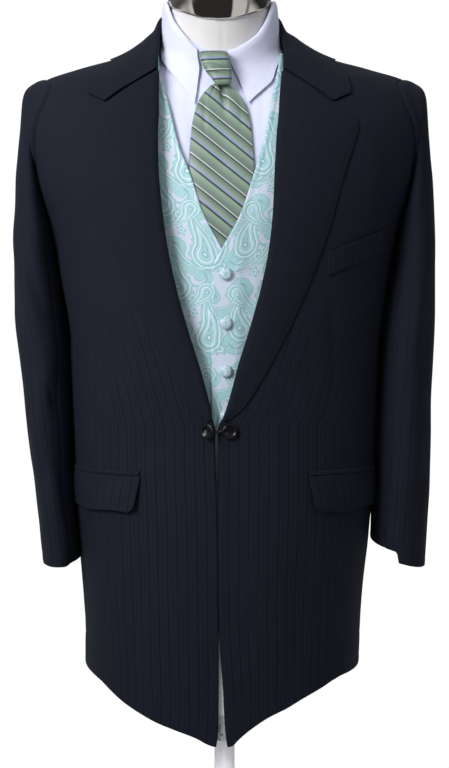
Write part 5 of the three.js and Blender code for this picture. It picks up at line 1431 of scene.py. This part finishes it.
# ---------------------------------------------------------------- the dress form
around = np.linspace(0, 360, 144, endpoint=False)
rows = np.concatenate([np.linspace(0, 13.2, 60)[:-1], np.linspace(13.2, 16, 46)])
rings = []
for r_ in rows:
    inset = -4 * smooth(14.1 - r_)
    seam = -0.9 * np.exp(-(np.minimum(around - 1.8, 361.8 - around) / 1.1) ** 2) - 0.9 * np.exp(-((around - 180) / 1.1) ** 2)
    rings.append(FORM.point(around, np.full_like(around, r_), inset + seam * (r_ > 13)))
form_torso = tube_mesh("v_form_torso", rings, M_FORM, ["form_torso"])
top = FORM.at(around, np.full_like(around, 16.0))
cc, up = np.array([0, -14, 1508.0]), np.array([0, -0.34, 0.94])
prof = [(0.9, 0.3), (1.015, 0.3), (1.03, 1.2), (1.036, 3.0), (1.036, 12), (1.036, 22.5), (1.032, 24.5), (1.02, 26.6), (1.0, 28.6), (0.96, 30.0), (0.85, 31.2), (0.7, 32.2), (0.5, 33.0), (0.3, 33.6), (0.1, 34.0)]
drop = np.array([0, 0, -1.0])[None, :] * (1.6 + 4.6 * np.sin(np.radians(around)) ** 2)[:, None]   # the rim reaches lower at the sides
neck_cap = tube_mesh("v_form_neck_cap", [(top - cc) * g + cc + up * r_ + drop * (1 - float(smooth(r_ / 22.0))) for g, r_ in prof], M_CHROME, ["form_neck_cap"])


def turned(name, profile, mat, nodes, n=96, hollow=False):
    t = np.linspace(0, 2 * np.pi, n, endpoint=False)
    rings = [np.stack([r * np.cos(t), r * np.sin(t), np.full_like(t, z)], 1) for r, z in profile]
    if hollow:
        rings.append(rings[0])
    return tube_mesh(name, rings, mat, nodes, caps=not hollow)


pole = turned("v_stand_pole", [(0.1, BASE_T + 0.3)] + [(POLE_R, z) for z in np.linspace(BASE_T + 0.3, FORM_BOTTOM - 0.3, 40)] + [(0.1, FORM_BOTTOM - 0.3)], M_PAINT, ["stand_pole"], 64)
p = POLE_R + 0.3
stand_collar = turned("v_stand_collar", [(p, BASE_T + 0.3), (29.6, BASE_T + 0.3), (30, BASE_T + 1.5), (29.6, BASE_T + 5), (28.4, BASE_T + 9), (25.5, BASE_T + 13), (22, BASE_T + 17.5), (19.6, BASE_T + 22), (18.4, BASE_T + 25.2), (17.4, BASE_T + 26), (p, BASE_T + 26)], M_STEEL, ["stand_collar"], 64, True)
base = turned("v_stand_base", [(0.1, 0), (BASE_R - 3, 0), (BASE_R - 0.9, 0.7), (BASE_R, 2.4), (BASE_R, BASE_T - 5.4), (BASE_R - 0.9, BASE_T - 3.4), (BASE_R - 3.5, BASE_T - 1.8), (BASE_R - 8, BASE_T - 0.8), (BASE_R - 20, BASE_T - 0.15), (BASE_R - 40, BASE_T), (40, BASE_T), (0.1, BASE_T)], M_PAINT, ["stand_base"], 128)

# ---------------------------------------------------------------- sheets: the cut of what shows


def declare(ob, rests, flat=None, factor=1.0):
    """Flat size from the piece itself: its reach across and along, and half of its surface."""
    co = np.array([v.co for v in ob.data.vertices])
    uv = ob.data.uv_layers["cloth"].data
    a = np.empty(len(uv) * 2, np.float32)
    uv.foreach_get("uv", a)
    a = a.reshape(-1, 2)
    area = sum(p_.area for p_ in ob.data.polygons) / 2
    w, l = (np.ptp(a[:, 0]), np.ptp(a[:, 1])) if flat is None else flat
    w, l = max(float(w), 0.0105), max(float(l), 0.0105)
    if w * l < area:
        k = math.sqrt(area / (w * l)) * 1.01
        w, l = w * k, l * k
    print("SHEET", ob.name, round(w, 3), round(l, 3), round(area, 4))


declare(coat_fr, ["v_form_torso"])
declare(coat_fl, ["v_form_torso"])
declare(coat_br, ["v_form_torso"])
declare(coat_bl, ["v_form_torso"])
declare(lapel_r, ["v_coat_front_R"])
declare(lapel_l, ["v_coat_front_L"])
declare(coat_collar, ["v_coat_collar_stand"])
declare(collar_stand, ["v_shirt_collar_leaf"])
for side_name, f, w_ in (("R", flap_r, welt_r), ("L", flap_l, welt_l)):
    declare(f, ["v_coat_front_" + side_name])
    declare(w_, ["v_coat_front_" + side_name])
declare(breast_welt, ["v_coat_front_L"])
for side_name, parts in (("R", sleeve_r), ("L", sleeve_l)):
    for s_ in parts:
        declare(s_, ["v_coat_front_" + side_name, "v_coat_back_" + side_name])
for s_ in shirt_parts:
    declare(s_, ["v_form_torso"])
declare(shirt_stand, ["v_form_torso"])
declare(shirt_leaf, ["v_shirt_collar_stand"])
declare(tie_band, ["v_shirt_collar_stand"])
declare(tie_blade, ["v_shirt_front_R", "v_shirt_front_L"])
for s_ in vest_parts:
    declare(s_, ["v_form_torso"])
declare(coat_lining, ["v_coat_front_L"])

# ---------------------------------------------------------------- floor, light and air
me = bpy.data.meshes.new("floor")
t = np.linspace(0, 2 * np.pi, 96, endpoint=False)
me.from_pydata([(1.25 * math.cos(a), 1.25 * math.sin(a), 0.0) for a in t], [], [tuple(range(96))])
floor = bpy.data.objects.new("floor", me)
bpy.context.scene.collection.objects.link(floor)
floor_mat, fb = new_material("floor_pale")
x, y, z = place()
soft = noise(combine(x * 0.004, y * 0.004), 1.0, 2.0)
finish_material(fb, mixc(soft, (0.80, 0.80, 0.81), (0.86, 0.86, 0.86)), 0.85, None, Specular_IOR_Level=0.1, Emission_Color=(1, 1, 1, 1), Emission_Strength=0.3)
me.materials.append(floor_mat)

world = bpy.data.worlds.new("studio")
bpy.context.scene.world = world
world.use_nodes = True
E.tree = world.node_tree
bg = world.node_tree.nodes["Background"]
tc = E.tree.nodes.new("ShaderNodeTexCoord")
sp = E.tree.nodes.new("ShaderNodeSeparateXYZ")
E.tree.links.new(tc.outputs["Generated"], sp.inputs[0])
gx, gy, gz = E(sp.outputs[0]), E(sp.outputs[1]), E(sp.outputs[2])
# a soft room: bright above and to the camera's left, dark low down in front, where the camera stands
az = op("ARCTAN2", gx, -gy) * 57.29578
level = 0.172 + step_(gz, -0.1, 0.9) * 0.52 - step_(gx, -0.3, 0.8) * 0.13
level = level * (0.22 + 0.78 * step_(gz, -0.35, 0.25))
core = step_(az, -72.0, -67.0) * step_(az, 36.0, 31.0)
streak = step_(az, 68.0, 73.0) * step_(az, 80.0, 76.0) + step_(az, -100.0, -90.0) * step_(az, -74.0, -84.0) * 0.5
low_front = step_(gz, -0.12, -0.3)
level = level + low_front * 0.62 * (1.0 - step_(absf(az), 150.0, 178.0))
level = level * (1.0 - low_front * minf(core * 0.955 + streak * 0.7, 1.0))
lp = E.tree.nodes.new("ShaderNodeLightPath")
seen = E(lp.outputs["Is Camera Ray"])
E.tree.links.new((level * (1.0 - seen) + seen * 1.02).s, bg.inputs["Strength"])
bg.inputs["Color"].default_value = (1, 1, 1, 1)


def area_light(name, loc, target, size, power, colour=(1, 1, 1), spread=180):
    d = bpy.data.lights.new(name, "AREA")
    d.shape = "DISK"
    d.size, d.energy, d.color = size, power, colour
    d.spread = math.radians(spread)
    ob = bpy.data.objects.new(name, d)
    ob.location = loc
    ob.rotation_euler = (Vector(target) - Vector(loc)).to_track_quat("-Z", "Y").to_euler()
    bpy.context.scene.collection.objects.link(ob)


area_light("key", (-1.42, -1.62, 2.22), (-0.22, 0, 1.29), 1.1, 7.4, (0.985, 0.99, 1.0), 64)
area_light("fill", (1.2, -2.3, 2.0), (0.02, 0, 1.36), 1.2, 0.45, (0.97, 0.98, 1.0), 50)
area_light("side", (-1.7, -1.5, 1.45), (-0.27, 0.0, 1.24), 0.7, 0.42, (0.97, 0.98, 1.0), 34)
area_light("low", (0.0, -1.3, 0.27), (0.0, 0.0, 0.25), 0.2, 3.2, (1.0, 1.0, 1.0), 24)
